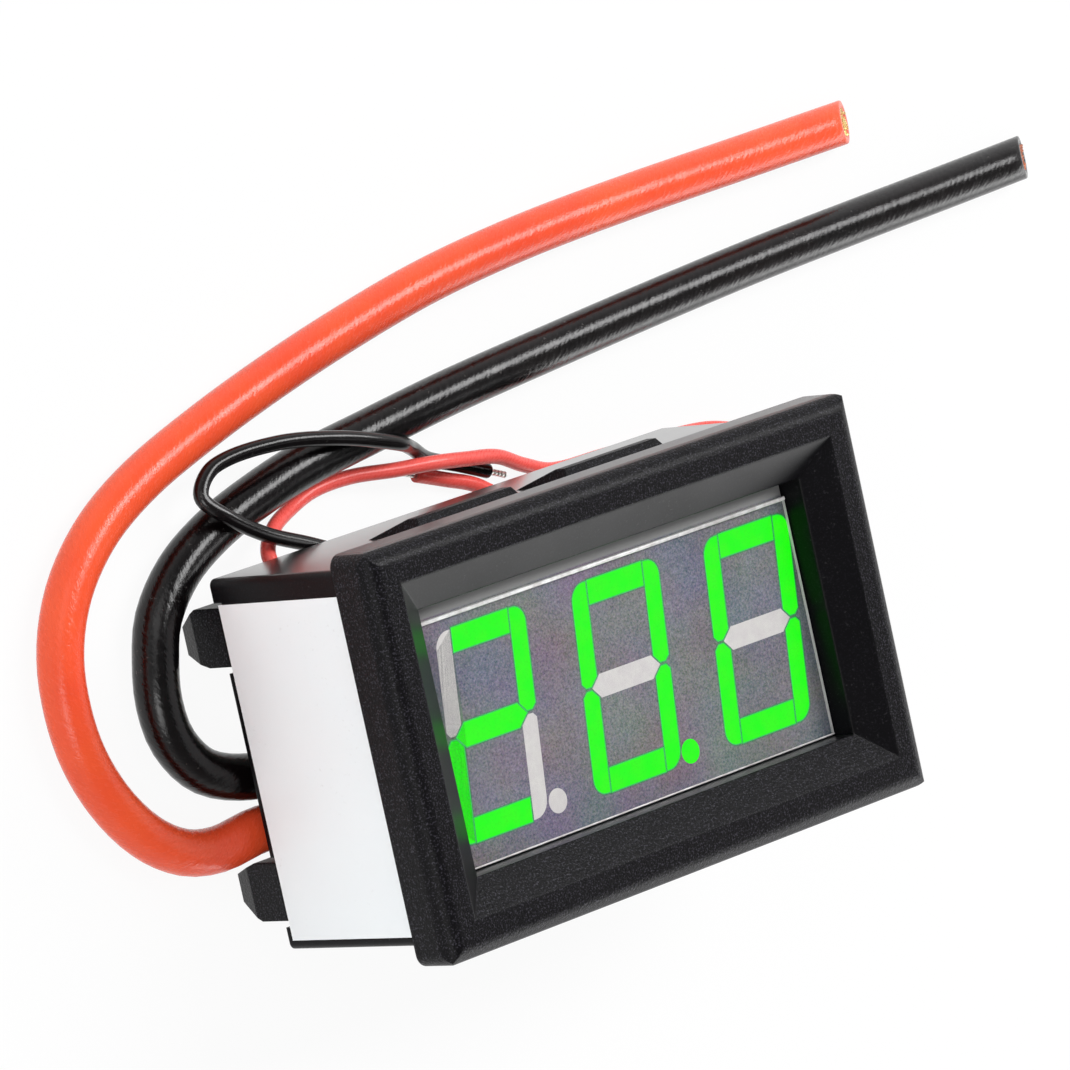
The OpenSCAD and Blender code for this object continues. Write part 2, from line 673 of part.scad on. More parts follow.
module red_lead() { color("#f0603c") tube(red_route, lead_d); }
module black_lead() { color("#1b1a1e") tube(black_route, lead_d); }
module red_core() { color("#c8784a") bare_core(red_route, core_d, mound_len + 3 * mound_inset); }
module black_core() { color("#c8784a") bare_core(black_route, core_d, mound_len + 3 * mound_inset); }
module red_strands() { color("#c8784a") strand_bundle(red_route); }
module black_strands() { color("#c8784a") strand_bundle(black_route); }
module supply_red_lead() { color("#e04a48") tube(supply_red_route, supply_d); }
module supply_black_lead() { color("#1b1a1e") tube(supply_black_route, supply_d); }

// Tinned tip at the free end, and the core that is soldered to the board
module supply_tips(route) {
    last = len(route) - 1;
    rod_on(route[last - 1], route[last], supply_core_d, tip_len);
    bare_core(route, supply_core_d, supply_core_len);
}

module supply_red_tip() { color("silver") supply_tips(supply_red_route); }
module supply_black_tip() { color("silver") supply_tips(supply_black_route); }

// ---------- assembly ----------

case();
side_label();
window_film();
display_housing();
digit_1_lit();
digit_1_unlit();
digit_2_lit();
digit_2_unlit();
digit_3_lit();
digit_3_unlit();
point_lit();
point_unlit();
display_base();
display_pins();
main_board();
pin_solder();
shunt();
shunt_solder();
lead_solder();
supply_solder();
controller_body();
controller_legs();
regulator_body();
regulator_legs();
diode_body();
diode_terminals();
tantalum_body();
tantalum_terminals();
resistor_bodies();
resistor_terminals();
capacitor_bodies();
capacitor_terminals();
trimmer_body();
trimmer_rotor();
red_lead();
red_core();
red_strands();
black_lead();
black_core();
black_strands();
supply_red_lead();
supply_red_tip();
supply_black_lead();
supply_black_tip();
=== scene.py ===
"""Looks of the digital panel meter: finishes, leads, solder and studio round the fixed CAD frame.

Every length is in metres and every place is in the frame of the CAD model: +Z out of the display,
+X along the digits, +Y up the digits, and the table at z = 0.
"""
import logging
import math
import random
from dataclasses import dataclass, field
from enum import Enum
from typing import ClassVar, Iterable, Sequence, Union

import bpy
from mathutils import Matrix, Vector


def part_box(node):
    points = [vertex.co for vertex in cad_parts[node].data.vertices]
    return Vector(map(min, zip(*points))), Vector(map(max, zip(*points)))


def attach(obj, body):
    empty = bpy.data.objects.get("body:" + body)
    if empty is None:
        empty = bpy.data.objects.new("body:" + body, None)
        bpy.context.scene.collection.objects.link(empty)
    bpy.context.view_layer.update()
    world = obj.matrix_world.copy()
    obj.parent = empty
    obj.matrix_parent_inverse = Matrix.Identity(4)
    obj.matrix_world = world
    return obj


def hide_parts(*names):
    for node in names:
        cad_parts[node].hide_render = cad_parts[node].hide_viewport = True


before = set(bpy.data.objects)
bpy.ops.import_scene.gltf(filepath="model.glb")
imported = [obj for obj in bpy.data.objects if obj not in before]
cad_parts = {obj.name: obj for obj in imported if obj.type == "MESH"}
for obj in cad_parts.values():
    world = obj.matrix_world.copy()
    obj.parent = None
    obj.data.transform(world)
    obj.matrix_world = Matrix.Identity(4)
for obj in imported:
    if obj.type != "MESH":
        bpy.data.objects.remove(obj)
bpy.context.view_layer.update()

LOG = logging.getLogger("panel_meter")
MM = 0.001
Point = tuple[float, float, float]
Rgb = tuple[int, int, int]
Node = bpy.types.Node
Socket = bpy.types.NodeSocket
Sockets = bpy.types.bpy_prop_collection
Piece = bpy.types.Object
Wired = Union[float, tuple, Socket]
Wiring = dict[Union[str, int], Wired]
BODY = "meter"  # the rigid body that every new piece rides


class Slot(Enum):
    """The record's material slots that the new pieces' finishes stand for."""

    LEAD_RED = "lead_red"
    LEAD_BLACK = "lead_black"
    SUPPLY_RED = "supply_red"
    COPPER = "copper"
    FILM = "film_tint"
    LIT = "segment_lit"


def linear(rgb: Rgb) -> tuple[float, float, float, float]:
    """Turns a colour written as sRGB from 0 to 255 into the renderer's linear values, with an alpha of 1."""
    parts = [c / 255 for c in rgb]
    return (*[c / 12.92 if c <= 0.04045 else ((c + 0.055) / 1.055) ** 2.4 for c in parts], 1.0)


class Graph:
    """Adds nodes to one node tree and wires them by socket."""

    def __init__(self, tree: bpy.types.NodeTree) -> None:
        """Keeps the tree that the nodes go to."""
        self.tree = tree

    @classmethod
    def of(cls, owner: Union[bpy.types.Material, bpy.types.World]) -> "Graph":
        """Empties the graph of a material or a world.

        Args:
            owner: The material or the world.

        Returns:
            Its graph.
        """
        owner.use_nodes = True
        owner.node_tree.nodes.clear()
        return cls(owner.node_tree)

    def put(self, node: Node, key: Union[str, int], value: Wired) -> None:
        """Puts a value into a socket.

        Args:
            node: The socket's node.
            key: The socket's name or number.
            value: A number, a colour or another node's output.
        """
        if isinstance(value, Socket):
            self.tree.links.new(value, node.inputs[key])
        else:
            node.inputs[key].default_value = value

    def add(self, kind: str, values: Wiring | None = None, **settings: object) -> Node:
        """Adds one node.

        Args:
            kind: The node's type, without Blender's prefix.
            values: What goes into its sockets.
            settings: The node's own settings.

        Returns:
            The new node.
        """
        node = self.tree.nodes.new(f"ShaderNode{kind}")
        for name, value in settings.items():
            setattr(node, name, value)
        for key, value in (values or {}).items():
            self.put(node, key, value)
        return node

    def maths(self, operation: str, *values: Wired, clamp: bool = False) -> Socket:
        """Adds a Math node and returns its output."""
        node = self.add("Math", dict(enumerate(values)), operation=operation, use_clamp=clamp)
        return node.outputs[0]

    def times(self, first: Wired, second: Wired, clamp: bool = False) -> Socket:
        """The product of two values."""
        return self.maths("MULTIPLY", first, second, clamp=clamp)

    def plus(self, first: Wired, second: Wired) -> Socket:
        """The sum of two values."""
        return self.maths("ADD", first, second)

    def rest(self, value: Wired) -> Socket:
        """What a value lacks to one."""
        return self.maths("SUBTRACT", 1.0, value)

    def size(self, value: Wired) -> Socket:
        """A value without its sign."""
        return self.maths("ABSOLUTE", value)

    def vectors(self, operation: str, first: Wired, second: Wired) -> Socket:
        """Adds a Vector Math node and returns its vector."""
        key = "Scale" if operation == "SCALE" else 1
        return self.add("VectorMath", {0: first, key: second}, operation=operation).outputs[0]

    def between(
        self, value: Wired, low: float, high: float, out_low: float = 0.0, out_high: float = 1.0
    ) -> Socket:
        """Maps a value from one range smoothly to another, clamped, and returns the output."""
        values = {0: value, 1: low, 2: high, 3: out_low, 4: out_high}
        return self.add("MapRange", values, interpolation_type="SMOOTHSTEP").outputs[0]

    def tint(self, amount: Wired, first: Wired, second: Wired, blend: str = "MIX") -> Socket:
        """Mixes two colours and returns the output."""
        node = self.add("Mix", {0: amount, 6: first, 7: second}, data_type="RGBA", blend_type=blend)
        return node.outputs[2]

    def layer(self, colour: Wired, mask: Wired, share: float, over: Rgb) -> Socket:
        """Lays a colour written as sRGB over another where a mask is high, and returns the output."""
        return self.tint(self.times(mask, share), colour, linear(over))

    def noise(self, vector: Wired, scale: Wired, detail: float = 2.0, rough: float = 0.5) -> Sockets:
        """Adds a Noise Texture and returns its value and its colour."""
        values = {"Vector": vector, "Scale": scale, "Detail": detail, "Roughness": rough}
        return self.add("TexNoise", values).outputs

    def bump(self, height: Wired, depth: float, strength: float, normal: Wired | None = None) -> Socket:
        """Adds a Bump node.

        Args:
            height: The height, from 0 to 1.
            depth: What a height of 1 stands for, in metres.
            strength: How strongly it shows.
            normal: The normal that it starts from, where that isn't the surface's own.

        Returns:
            The new normal.
        """
        values: Wiring = {"Height": height, "Distance": depth, "Strength": strength}
        if normal is not None:
            values["Normal"] = normal
        return self.add("Bump", values).outputs[0]

    def rounded(self, radius: float) -> Socket:
        """The normal with the sharp edges rounded off."""
        return self.add("Bevel", {0: radius}, samples=4).outputs[0]

    def place(self, effect: "Effect", **values: Wired) -> Sockets:
        """Places a shared effect's group and returns its named outputs."""
        return self.add("Group", values, node_tree=effect.tree()).outputs

    def here(self) -> Socket:
        """The place on the surface, in metres in the object's own frame."""
        return self.add("TexCoord").outputs["Object"]

    def axes(self, vector: Wired) -> Sockets:
        """The three parts of a vector."""
        return self.add("SeparateXYZ", {0: vector}).outputs

    def facing(self, axis: int) -> Socket:
        """How squarely the surface faces one way or the other along an axis."""
        return self.size(self.axes(self.add("NewGeometry").outputs["True Normal"])[axis])


# ---------------------------------------------------------------- shared effects


class Effect:
    """A shader node group that several finishes share. It is built once, at its first use."""

    title = "effect"
    takes: tuple[tuple[str, float], ...] = ()
    gives: tuple[tuple[str, str], ...] = ()

    def tree(self) -> bpy.types.NodeTree:
        """Builds the group, if it isn't there yet.

        Returns:
            The group's node tree.
        """
        known = bpy.data.node_groups.get(self.title)
        if known:
            return known
        tree = bpy.data.node_groups.new(self.title, "ShaderNodeTree")
        tree.interface.new_socket("Vector", in_out="INPUT", socket_type="NodeSocketVector")
        for name, usual in self.takes:
            taken = tree.interface.new_socket(name, in_out="INPUT", socket_type="NodeSocketFloat")
            taken.default_value = usual
        for name, kind in self.gives:
            tree.interface.new_socket(name, in_out="OUTPUT", socket_type=kind)
        graph, out = Graph(tree), tree.nodes.new("NodeGroupOutput")
        for name, value in self.wire(graph, tree.nodes.new("NodeGroupInput").outputs).items():
            graph.put(out, name, value)
        return tree

    def wire(self, graph: Graph, given: Sockets) -> Wiring:
        """Builds the effect's nodes from the group's inputs, and returns what goes to its outputs."""
        raise NotImplementedError


class MouldGrain(Effect):
    """Spark-eroded texture of a moulding: a fine grain with a few taller, paler specks; on the case their
    paler colour is partly painted glints.
    """

    title = "mould grain"
    takes = (("Fineness", 8000.0), ("Specks", 0.6))
    gives = (("Height", "NodeSocketFloat"), ("Speck", "NodeSocketFloat"))

    def wire(self, graph: Graph, given: Sockets) -> Wiring:
        """Adds noise and cells for the height, and thins a second noise out to specks.

        Args:
            graph: The group's graph.
            given: The group's inputs.

        Returns:
            What goes to its outputs.
        """
        here, fineness = given["Vector"], given["Fineness"]
        grain = graph.noise(here, fineness, detail=3.0, rough=0.6)[0]
        cells = graph.add("TexVoronoi", {"Vector": here, "Scale": graph.times(fineness, 0.7)}).outputs[0]
        height = graph.plus(graph.times(grain, 0.7), graph.times(cells, 0.4))
        spots = graph.noise(here, graph.times(fineness, 1.15), detail=1.0)[0]
        over = graph.maths("SUBTRACT", spots, given["Specks"])
        return {"Height": height, "Speck": graph.times(over, 12.0, clamp=True)}


class Handling(Effect):
    """Fine dust and finger haze, denser in loose patches."""

    title = "handling"
    takes = (("Amount", 0.5), ("Fineness", 3000.0))
    gives = (("Dust", "NodeSocketFloat"), ("Haze", "NodeSocketFloat"))

    def wire(self, graph: Graph, given: Sockets) -> Wiring:
        """Lays sparse dots over broad patches.

        Args:
            graph: The group's graph.
            given: The group's inputs.

        Returns:
            What goes to its outputs.
        """
        broad = graph.noise(given["Vector"], scale=170.0, detail=3.0, rough=0.6)[0]
        dots = graph.noise(given["Vector"], given["Fineness"], detail=2.0, rough=0.7)[0]
        sparse = graph.times(graph.between(dots, 0.62, 0.74), graph.between(broad, 0.42, 0.62))
        haze = graph.times(graph.between(broad, 0.35, 0.75), given["Amount"])
        return {"Dust": graph.times(sparse, given["Amount"]), "Haze": haze}


class ChromaGrain(Effect):
    """Fine grey grain in which single grains and loose clouds lean to pink, blue or green."""

    title = "chroma grain"
    takes = (("Fineness", 7000.0), ("Grain", 0.3), ("Clouds", 0.1))
    gives = (("Shade", "NodeSocketColor"), ("Height", "NodeSocketFloat"))
    middle = (0.5, 0.5, 0.5)

    def wire(self, graph: Graph, given: Sockets) -> Wiring:
        """Mixes grey and coloured noise about a middle grey, on two scales.

        Args:
            graph: The group's graph.
            given: The group's inputs.

        Returns:
            What goes to its outputs.
        """
        fine = graph.noise(given["Vector"], given["Fineness"], detail=2.0, rough=0.7)
        grains = self.spread(graph, graph.tint(0.25, fine[0], fine[1]), given["Grain"])
        broad = graph.noise(given["Vector"], scale=170.0, detail=2.0, rough=0.45)
        clouds = self.spread(graph, broad[1], given["Clouds"])
        shade = graph.vectors("SUBTRACT", graph.vectors("ADD", grains, clouds), self.middle)
        return {"Shade": shade, "Height": fine[0]}

    def spread(self, graph: Graph, colour: Wired, amount: Wired) -> Socket:
        """Stretches a colour away from middle grey by an amount."""
        far = graph.vectors("SCALE", graph.vectors("SUBTRACT", colour, self.middle), amount)
        return graph.vectors("ADD", far, self.middle)


class MetalSkin(Effect):
    """Skin of solder and tin: a slow swell, fine grain and dull patches."""

    title = "metal skin"
    takes = (("Fineness", 4000.0),)
    gives = (("Height", "NodeSocketFloat"), ("Dull", "NodeSocketFloat"))

    def wire(self, graph: Graph, given: Sockets) -> Wiring:
        """Adds a broad noise to a fine one.

        Args:
            graph: The group's graph.
            given: The group's inputs.

        Returns:
            What goes to its outputs.
        """
        broad = graph.noise(given["Vector"], graph.times(given["Fineness"], 0.3), detail=2.0)[0]
        fine = graph.noise(given["Vector"], given["Fineness"], detail=3.0, rough=0.65)[0]
        height = graph.plus(broad, graph.times(fine, 0.35))
        return {"Height": height, "Dull": graph.between(fine, 0.38, 0.68)}


class DrawnSkin(Effect):
    """Skin of an extruded sheath: short slanted furrows, and a slow drift in tone along it."""

    title = "drawn skin"
    takes = (("Fineness", 5000.0), ("Slant", 0.7))
    gives = (("Height", "NodeSocketFloat"), ("Tone", "NodeSocketFloat"))

    def wire(self, graph: Graph, given: Sockets) -> Wiring:
        """Turns and stretches a noise, so that its grains become furrows.

        Args:
            graph: The group's graph.
            given: The group's inputs.

        Returns:
            What goes to its outputs.
        """
        here = given["Vector"]
        angle = graph.add("CombineXYZ", {2: given["Slant"]}).outputs[0]
        values = {"Vector": here, "Rotation": angle}
        turned = graph.add("VectorRotate", values, rotation_type="EULER_XYZ").outputs[0]
        drawn = graph.vectors("MULTIPLY", turned, (1.0, 0.28, 1.0))
        furrows = graph.noise(drawn, given["Fineness"], detail=2.0, rough=0.55)[0]
        pits = graph.noise(here, graph.times(given["Fineness"], 1.7), detail=2.0)[0]
        height = graph.plus(furrows, graph.times(pits, 0.3))
        return {"Height": height, "Tone": graph.noise(here, scale=90.0, detail=3.0, rough=0.6)[0]}


# ---------------------------------------------------------------- finishes


@dataclass(frozen=True)
class Finish:
    """One surface finish.

    Attributes:
        name: The material's name.
        colour: Its main colour as sRGB from 0 to 255.
        roughness: Its usual roughness.
    """

    name: str
    colour: Rgb
    roughness: float = 0.5

    def make(self) -> bpy.types.Material:
        """Builds the material.

        Returns:
            The material.
        """
        material = bpy.data.materials.new(self.name)
        graph = Graph.of(material)
        values = {"Roughness": self.roughness, "Base Color": linear(self.colour)}
        shader = graph.add("BsdfPrincipled", values)
        graph.add("OutputMaterial", {"Surface": shader.outputs[0]})
        self.dress(graph, shader)
        return material

    def dress(self, graph: Graph, shader: Node) -> None:
        """Wires the finish's detail into its shader."""
        raise NotImplementedError

    def wire(self, graph: Graph, shader: Node, **values: Wired) -> None:
        """Puts values into the shader's sockets, with underscores in their names read as spaces."""
        for name, value in values.items():
            graph.put(shader, name.replace("_", " "), value)


@dataclass(frozen=True)
class CaseMoulding(Finish):
    """Black moulding of the case: textured bezel, ridges and hooks, satin slopes, polished walls.

    Attributes:
        flange_z: Height of the flange's rear face, where the walls begin.
        rear_z: Height of the walls' rear edge, under which only the hooks go on.
        ridge_y: Distance from the middle past which only the ridges stand.
        slope_half: Half the width and half the height of the slopes' outer edge.
        fade: Width over which one region's texture gives way to the next one's.
        edge: Radius that softens the moulding's sharp edges.
        speck: Colour of the texture's taller specks, partly their own paler tone and partly painted glints.
        dust: Colour of the dust.
    """

    flange_z: float = 0.0192
    rear_z: float = 0.005
    ridge_y: float = 0.0135
    slope_half: tuple[float, float] = (0.0213, 0.0118)
    fade: float = 0.0001
    edge: float = 0.00022
    speck: Rgb = (84, 82, 92)
    dust: Rgb = (110, 108, 112)

    def regions(self, graph: Graph, here: Wired) -> tuple[Socket, Socket]:
        """Tells the moulding's regions apart.

        Args:
            graph: The material's graph.
            here: The place on the surface.

        Returns:
            Masks of the textured faces, with only the lower of the slopes, and of the polished level walls.
        """
        axes, half = graph.axes(here), self.fade / 2
        off_y = graph.size(axes[1])
        front = graph.between(axes[2], self.flange_z - self.fade, self.flange_z)
        in_x = graph.maths("SUBTRACT", self.slope_half[0], graph.size(axes[0]))
        in_y = graph.maths("SUBTRACT", self.slope_half[1], off_y)
        window = graph.between(graph.maths("MINIMUM", in_x, in_y), -half, half)
        low = graph.times(graph.maths("GREATER_THAN", in_x, in_y), graph.maths("LESS_THAN", axes[1], 0.0))
        face = graph.times(front, graph.rest(graph.times(window, graph.rest(low))))
        ridge = graph.between(off_y, self.ridge_y, self.ridge_y + half)
        hook = graph.between(axes[2], self.rear_z, self.rear_z - self.fade)
        back = graph.maths("MAXIMUM", graph.times(ridge, graph.rest(front)), hook)
        level = graph.times(graph.between(graph.facing(1), 0.9, 0.95), graph.rest(back))
        wall = graph.times(level, graph.between(front, 0.0, 1.0, 1.0, 0.7))
        return graph.maths("MAXIMUM", face, back), wall

    def dress(self, graph: Graph, shader: Node) -> None:
        """Gives each region its grain, gloss and specks, the specks' paler colour partly painted glints.

        Args:
            graph: The material's graph.
            shader: Its Principled BSDF.
        """
        here = graph.here()
        textured, wall = self.regions(graph, here)
        grain = graph.place(MouldGrain(), Vector=here, Fineness=6500.0, Specks=0.575)
        use = graph.place(Handling(), Vector=here, Amount=0.6, Fineness=3800.0)
        # Paler specks, strongest on the textured faces: partly the grain's own tone, partly painted glints.
        speck = graph.times(grain["Speck"], graph.between(textured, 0.0, 1.0, 0.15, 1.0))
        colour = graph.layer(linear(self.colour), speck, share=0.35, over=self.speck)
        rough = graph.between(textured, 0.0, 1.0, 0.3, self.roughness)
        gloss = graph.plus(rough, graph.times(use["Haze"], 0.06))
        height = graph.times(grain["Height"], graph.between(textured, 0.0, 1.0, 0.04, 1.0))
        self.wire(
            graph,
            shader,
            Base_Color=graph.layer(colour, use["Dust"], share=0.25, over=self.dust),
            Roughness=graph.maths("SUBTRACT", gloss, graph.times(wall, 0.16)),
            Specular_IOR_Level=0.13,
            Coat_Weight=wall,
            Coat_Roughness=0.3,
            Coat_IOR=1.6,
            Normal=graph.bump(height, depth=0.00006, strength=0.7, normal=graph.rounded(self.edge)),
        )


@dataclass(frozen=True)
class Resin(Finish):
    """Matt filled resin of chips, ceramics and trimmers.

    Attributes:
        speck: Colour of the filler's specks.
        dust: Colour of the dust.
    """

    speck: Rgb = (90, 90, 92)
    dust: Rgb = (190, 188, 184)

    def dress(self, graph: Graph, shader: Node) -> None:
        """Adds grain, specks and a little dust.

        Args:
            graph: The material's graph.
            shader: Its Principled BSDF.
        """
        here = graph.here()
        grain = graph.place(MouldGrain(), Vector=here, Fineness=9000.0, Specks=0.6)
        use = graph.place(Handling(), Vector=here, Amount=0.5, Fineness=5000.0)
        colour = graph.layer(linear(self.colour), grain["Speck"], share=0.35, over=self.speck)
        colour = graph.layer(colour, use["Dust"], share=0.3, over=self.dust)
        rough = graph.between(grain["Height"], 0.2, 0.9, self.roughness - 0.08, self.roughness + 0.1)
        normal = graph.bump(grain["Height"], depth=0.00002, strength=0.5, normal=graph.rounded(0.00006))
        self.wire(graph, shader, Base_Color=colour, Roughness=rough, Normal=normal)


@dataclass(frozen=True)
class DisplayPaint(Finish):
    """Grey paint of the display's face, with its fine coloured grain.

    Attributes:
        film_top: Height on the face where the film ends and the bare strip begins.
        paler: Colour of the paint's paler patches.
        strip: Colour of the bare strip.
    """

    film_top: float = 0.0082
    paler: Rgb = (112, 112, 120)
    strip: Rgb = (140, 140, 140)

    def dress(self, graph: Graph, shader: Node) -> None:
        """Overlays the grain on the grey, and leaves the bare strip plain.

        Args:
            graph: The material's graph.
            shader: Its Principled BSDF.
        """
        here = graph.here()
        grain = graph.place(ChromaGrain(), Vector=here, Fineness=6200.0, Grain=1.7, Clouds=0.5)
        bare = graph.between(graph.axes(here)[1], self.film_top, self.film_top + 0.0002)
        paint = graph.tint(graph.noise(here, scale=120.0)[0], linear(self.colour), linear(self.paler))
        face = graph.tint(0.9, paint, grain["Shade"], "OVERLAY")
        colour = graph.tint(bare, face, linear(self.strip))
        normal = graph.bump(grain["Height"], depth=0.00002, strength=0.4)
        self.wire(graph, shader, Base_Color=colour, Normal=normal)


@dataclass(frozen=True)
class LitSegment(Finish):
    """Light pipe of a lit segment: green, a little yellower in patches.

    Attributes:
        patch: Colour of the patches.
        resin: Linear colour of the resin itself.
    """

    patch: Rgb = (44, 252, 2)
    resin: tuple[float, ...] = (0.002, 0.02, 0.002, 1.0)

    def dress(self, graph: Graph, shader: Node) -> None:
        """Varies the glow a little over the face.

        Args:
            graph: The material's graph.
            shader: Its Principled BSDF.
        """
        patch = graph.between(graph.noise(graph.here(), scale=900.0)[0], 0.3, 0.7)
        self.wire(
            graph,
            shader,
            Base_Color=self.resin,
            Specular_IOR_Level=0.15,
            Emission_Color=graph.tint(patch, linear(self.colour), linear(self.patch)),
            Emission_Strength=1.0,
        )


@dataclass(frozen=True)
class Fringe(Finish):
    """Dark green rim round a lit segment: painted light, where the segment's light fades into the paint.

    Attributes:
        grains: Colour of its paler grains.
        glow: Colour of the rim's painted glow.
    """

    grains: Rgb = (40, 190, 110)
    glow: Rgb = (16, 150, 40)

    def dress(self, graph: Graph, shader: Node) -> None:
        """Fades the rim out along its own 'fade' layer.

        Args:
            graph: The material's graph.
            shader: Its Principled BSDF.
        """
        fade = graph.add("Attribute", attribute_name="fade").outputs["Fac"]
        grains = graph.noise(graph.here(), scale=8000.0)[0]
        shade = graph.tint(grains, linear(self.colour), linear(self.grains))
        # Painted glow: the segment's light spilling onto the rim, strongest at its inner edge.
        glow = graph.layer((0.0, 0.0, 0.0, 1.0), fade, share=0.7, over=self.glow)
        alpha = graph.between(fade, 0.0, 1.0)
        self.wire(graph, shader, Base_Color=shade, Alpha=alpha, Emission_Color=glow, Emission_Strength=1.0)


@dataclass(frozen=True)
class MilkyResin(Finish):
    """Milky resin of an unlit segment, and the pale resin of the film's edge beads, which are a painted
    highlight.

    Attributes:
        cloud: Colour of its clouds.
        grain: Colour of its fine grain.
    """

    cloud: Rgb = (202, 198, 198)
    grain: Rgb = (205, 203, 201)

    def dress(self, graph: Graph, shader: Node) -> None:
        """Clouds the resin a little and pits its face.

        Args:
            graph: The material's graph.
            shader: Its Principled BSDF.
        """
        here = graph.here()
        cloud = graph.between(graph.noise(here, scale=1100.0, detail=3.0)[0], 0.3, 0.7)
        fine = graph.noise(here, scale=9000.0)[0]
        colour = graph.tint(cloud, linear(self.colour), linear(self.cloud))
        colour = graph.tint(graph.between(fine, 0.5, 0.8, 0.0, 0.2), colour, linear(self.grain))
        self.wire(graph, shader, Base_Color=colour, Normal=graph.bump(fine, depth=0.00001, strength=0.3))


@dataclass(frozen=True)
class TintFilm(Finish):
    """Thin tinted film: almost clear face, cut edges painted pale as a highlight.

    Attributes:
        cover: How much the face hides.
        rim: Colour of the painted highlight on the cut edges.
    """

    cover: float = 0.035
    rim: Rgb = (214, 214, 212)

    def dress(self, graph: Graph, shader: Node) -> None:
        """Clears the face, keeps the cut edges with a painted highlight and adds the film's fine haze.

        Args:
            graph: The material's graph.
            shader: Its Principled BSDF.
        """
        # Cut edges: pale colour and high cover painted on as a highlight.
        edge = graph.between(graph.facing(2), 0.9, 0.4)
        haze = graph.noise(graph.here(), scale=5200.0, detail=3.0, rough=0.7)[0]
        clear = graph.between(haze, 0.35, 0.75, self.cover * 0.6, self.cover * 1.5)
        colour = graph.tint(edge, linear(self.colour), linear(self.rim))
        cover = graph.maths("MAXIMUM", clear, graph.times(edge, 0.9))
        normal = graph.bump(haze, depth=0.000006, strength=0.3)
        self.wire(graph, shader, Base_Color=colour, Alpha=cover, Normal=normal)


@dataclass(frozen=True)
class LabelVinyl(Finish):
    """Blank white vinyl label with a faint stain and a soft ripple.

    Attributes:
        dust: Colour of the dust.
    """

    dust: Rgb = (176, 174, 170)

    def dress(self, graph: Graph, shader: Node) -> None:
        """Stains, dusts and ripples the vinyl.

        Args:
            graph: The material's graph.
            shader: Its Principled BSDF.
        """
        here = graph.here()
        use = graph.place(Handling(), Vector=here, Amount=0.7, Fineness=2600.0)
        stained = graph.tint(0.05, linear(self.colour), graph.noise(here, scale=210.0)[1], "OVERLAY")
        colour = graph.layer(stained, use["Dust"], share=0.2, over=self.dust)
        rough = graph.between(use["Haze"], 0.0, 0.7, self.roughness, self.roughness + 0.12)
        normal = graph.bump(graph.noise(here, scale=260.0)[0], depth=0.0002, strength=0.3)
        self.wire(graph, shader, Base_Color=colour, Roughness=rough, Normal=normal)


@dataclass(frozen=True)
class Sheath(Finish):
    """Extruded sheath of a lead.

    Attributes:
        deep: Colour towards one end of its drift in tone.
        fineness: Scale of the furrows.
        depth: Depth of the furrows.
        strength: How strongly they show.
        dust: Colour of the dust.
    """

    deep: Rgb = (0, 0, 0)
    fineness: float = 5000.0
    depth: float = 0.00005
    strength: float = 0.5
    dust: Rgb = (210, 205, 200)

    def dress(self, graph: Graph, shader: Node) -> None:
        """Furrows the sheath and drifts its tone along its length.

        Args:
            graph: The material's graph.
            shader: Its Principled BSDF.
        """
        along = graph.add("UVMap", uv_map=Shape.uv_name).outputs[0]
        skin = graph.place(DrawnSkin(), Vector=along, Fineness=self.fineness, Slant=0.75)
        use = graph.place(Handling(), Vector=along, Amount=0.6, Fineness=2500.0)
        drift = graph.between(skin["Tone"], 0.3, 0.7)
        colour = graph.layer(linear(self.colour), drift, share=0.5, over=self.deep)
        colour = graph.layer(colour, use["Dust"], share=0.15, over=self.dust)
        rough = graph.between(skin["Height"], 0.35, 0.95, self.roughness + 0.1, self.roughness - 0.05)
        normal = graph.bump(skin["Height"], depth=self.depth, strength=self.strength)
        self.wire(
            graph, shader, Base_Color=colour, Roughness=rough, Normal=normal, Specular_IOR_Level=0.36
        )


@dataclass(frozen=True)
class BareMetal(Finish):
    """Tin, solder or alloy.

    Attributes:
        dull: Colour of its dull patches.
        fineness: Scale of its grain.
        depth: Depth of its grain.
    """

    dull: Rgb = (120, 118, 116)
    fineness: float = 4000.0
    depth: float = 0.00003

    def dress(self, graph: Graph, shader: Node) -> None:
        """Dulls and swells the metal in patches.

        Args:
            graph: The material's graph.
            shader: Its Principled BSDF.
        """
        skin = graph.place(MetalSkin(), Vector=graph.here(), Fineness=self.fineness)
        colour = graph.layer(linear(self.colour), skin["Dull"], share=0.6, over=self.dull)
        rough = graph.between(skin["Dull"], 0.0, 1.0, self.roughness, self.roughness + 0.18)
        normal = graph.bump(skin["Height"], depth=self.depth, strength=0.5, normal=graph.rounded(0.00005))
        self.wire(graph, shader, Base_Color=colour, Metallic=1.0, Roughness=rough, Normal=normal)


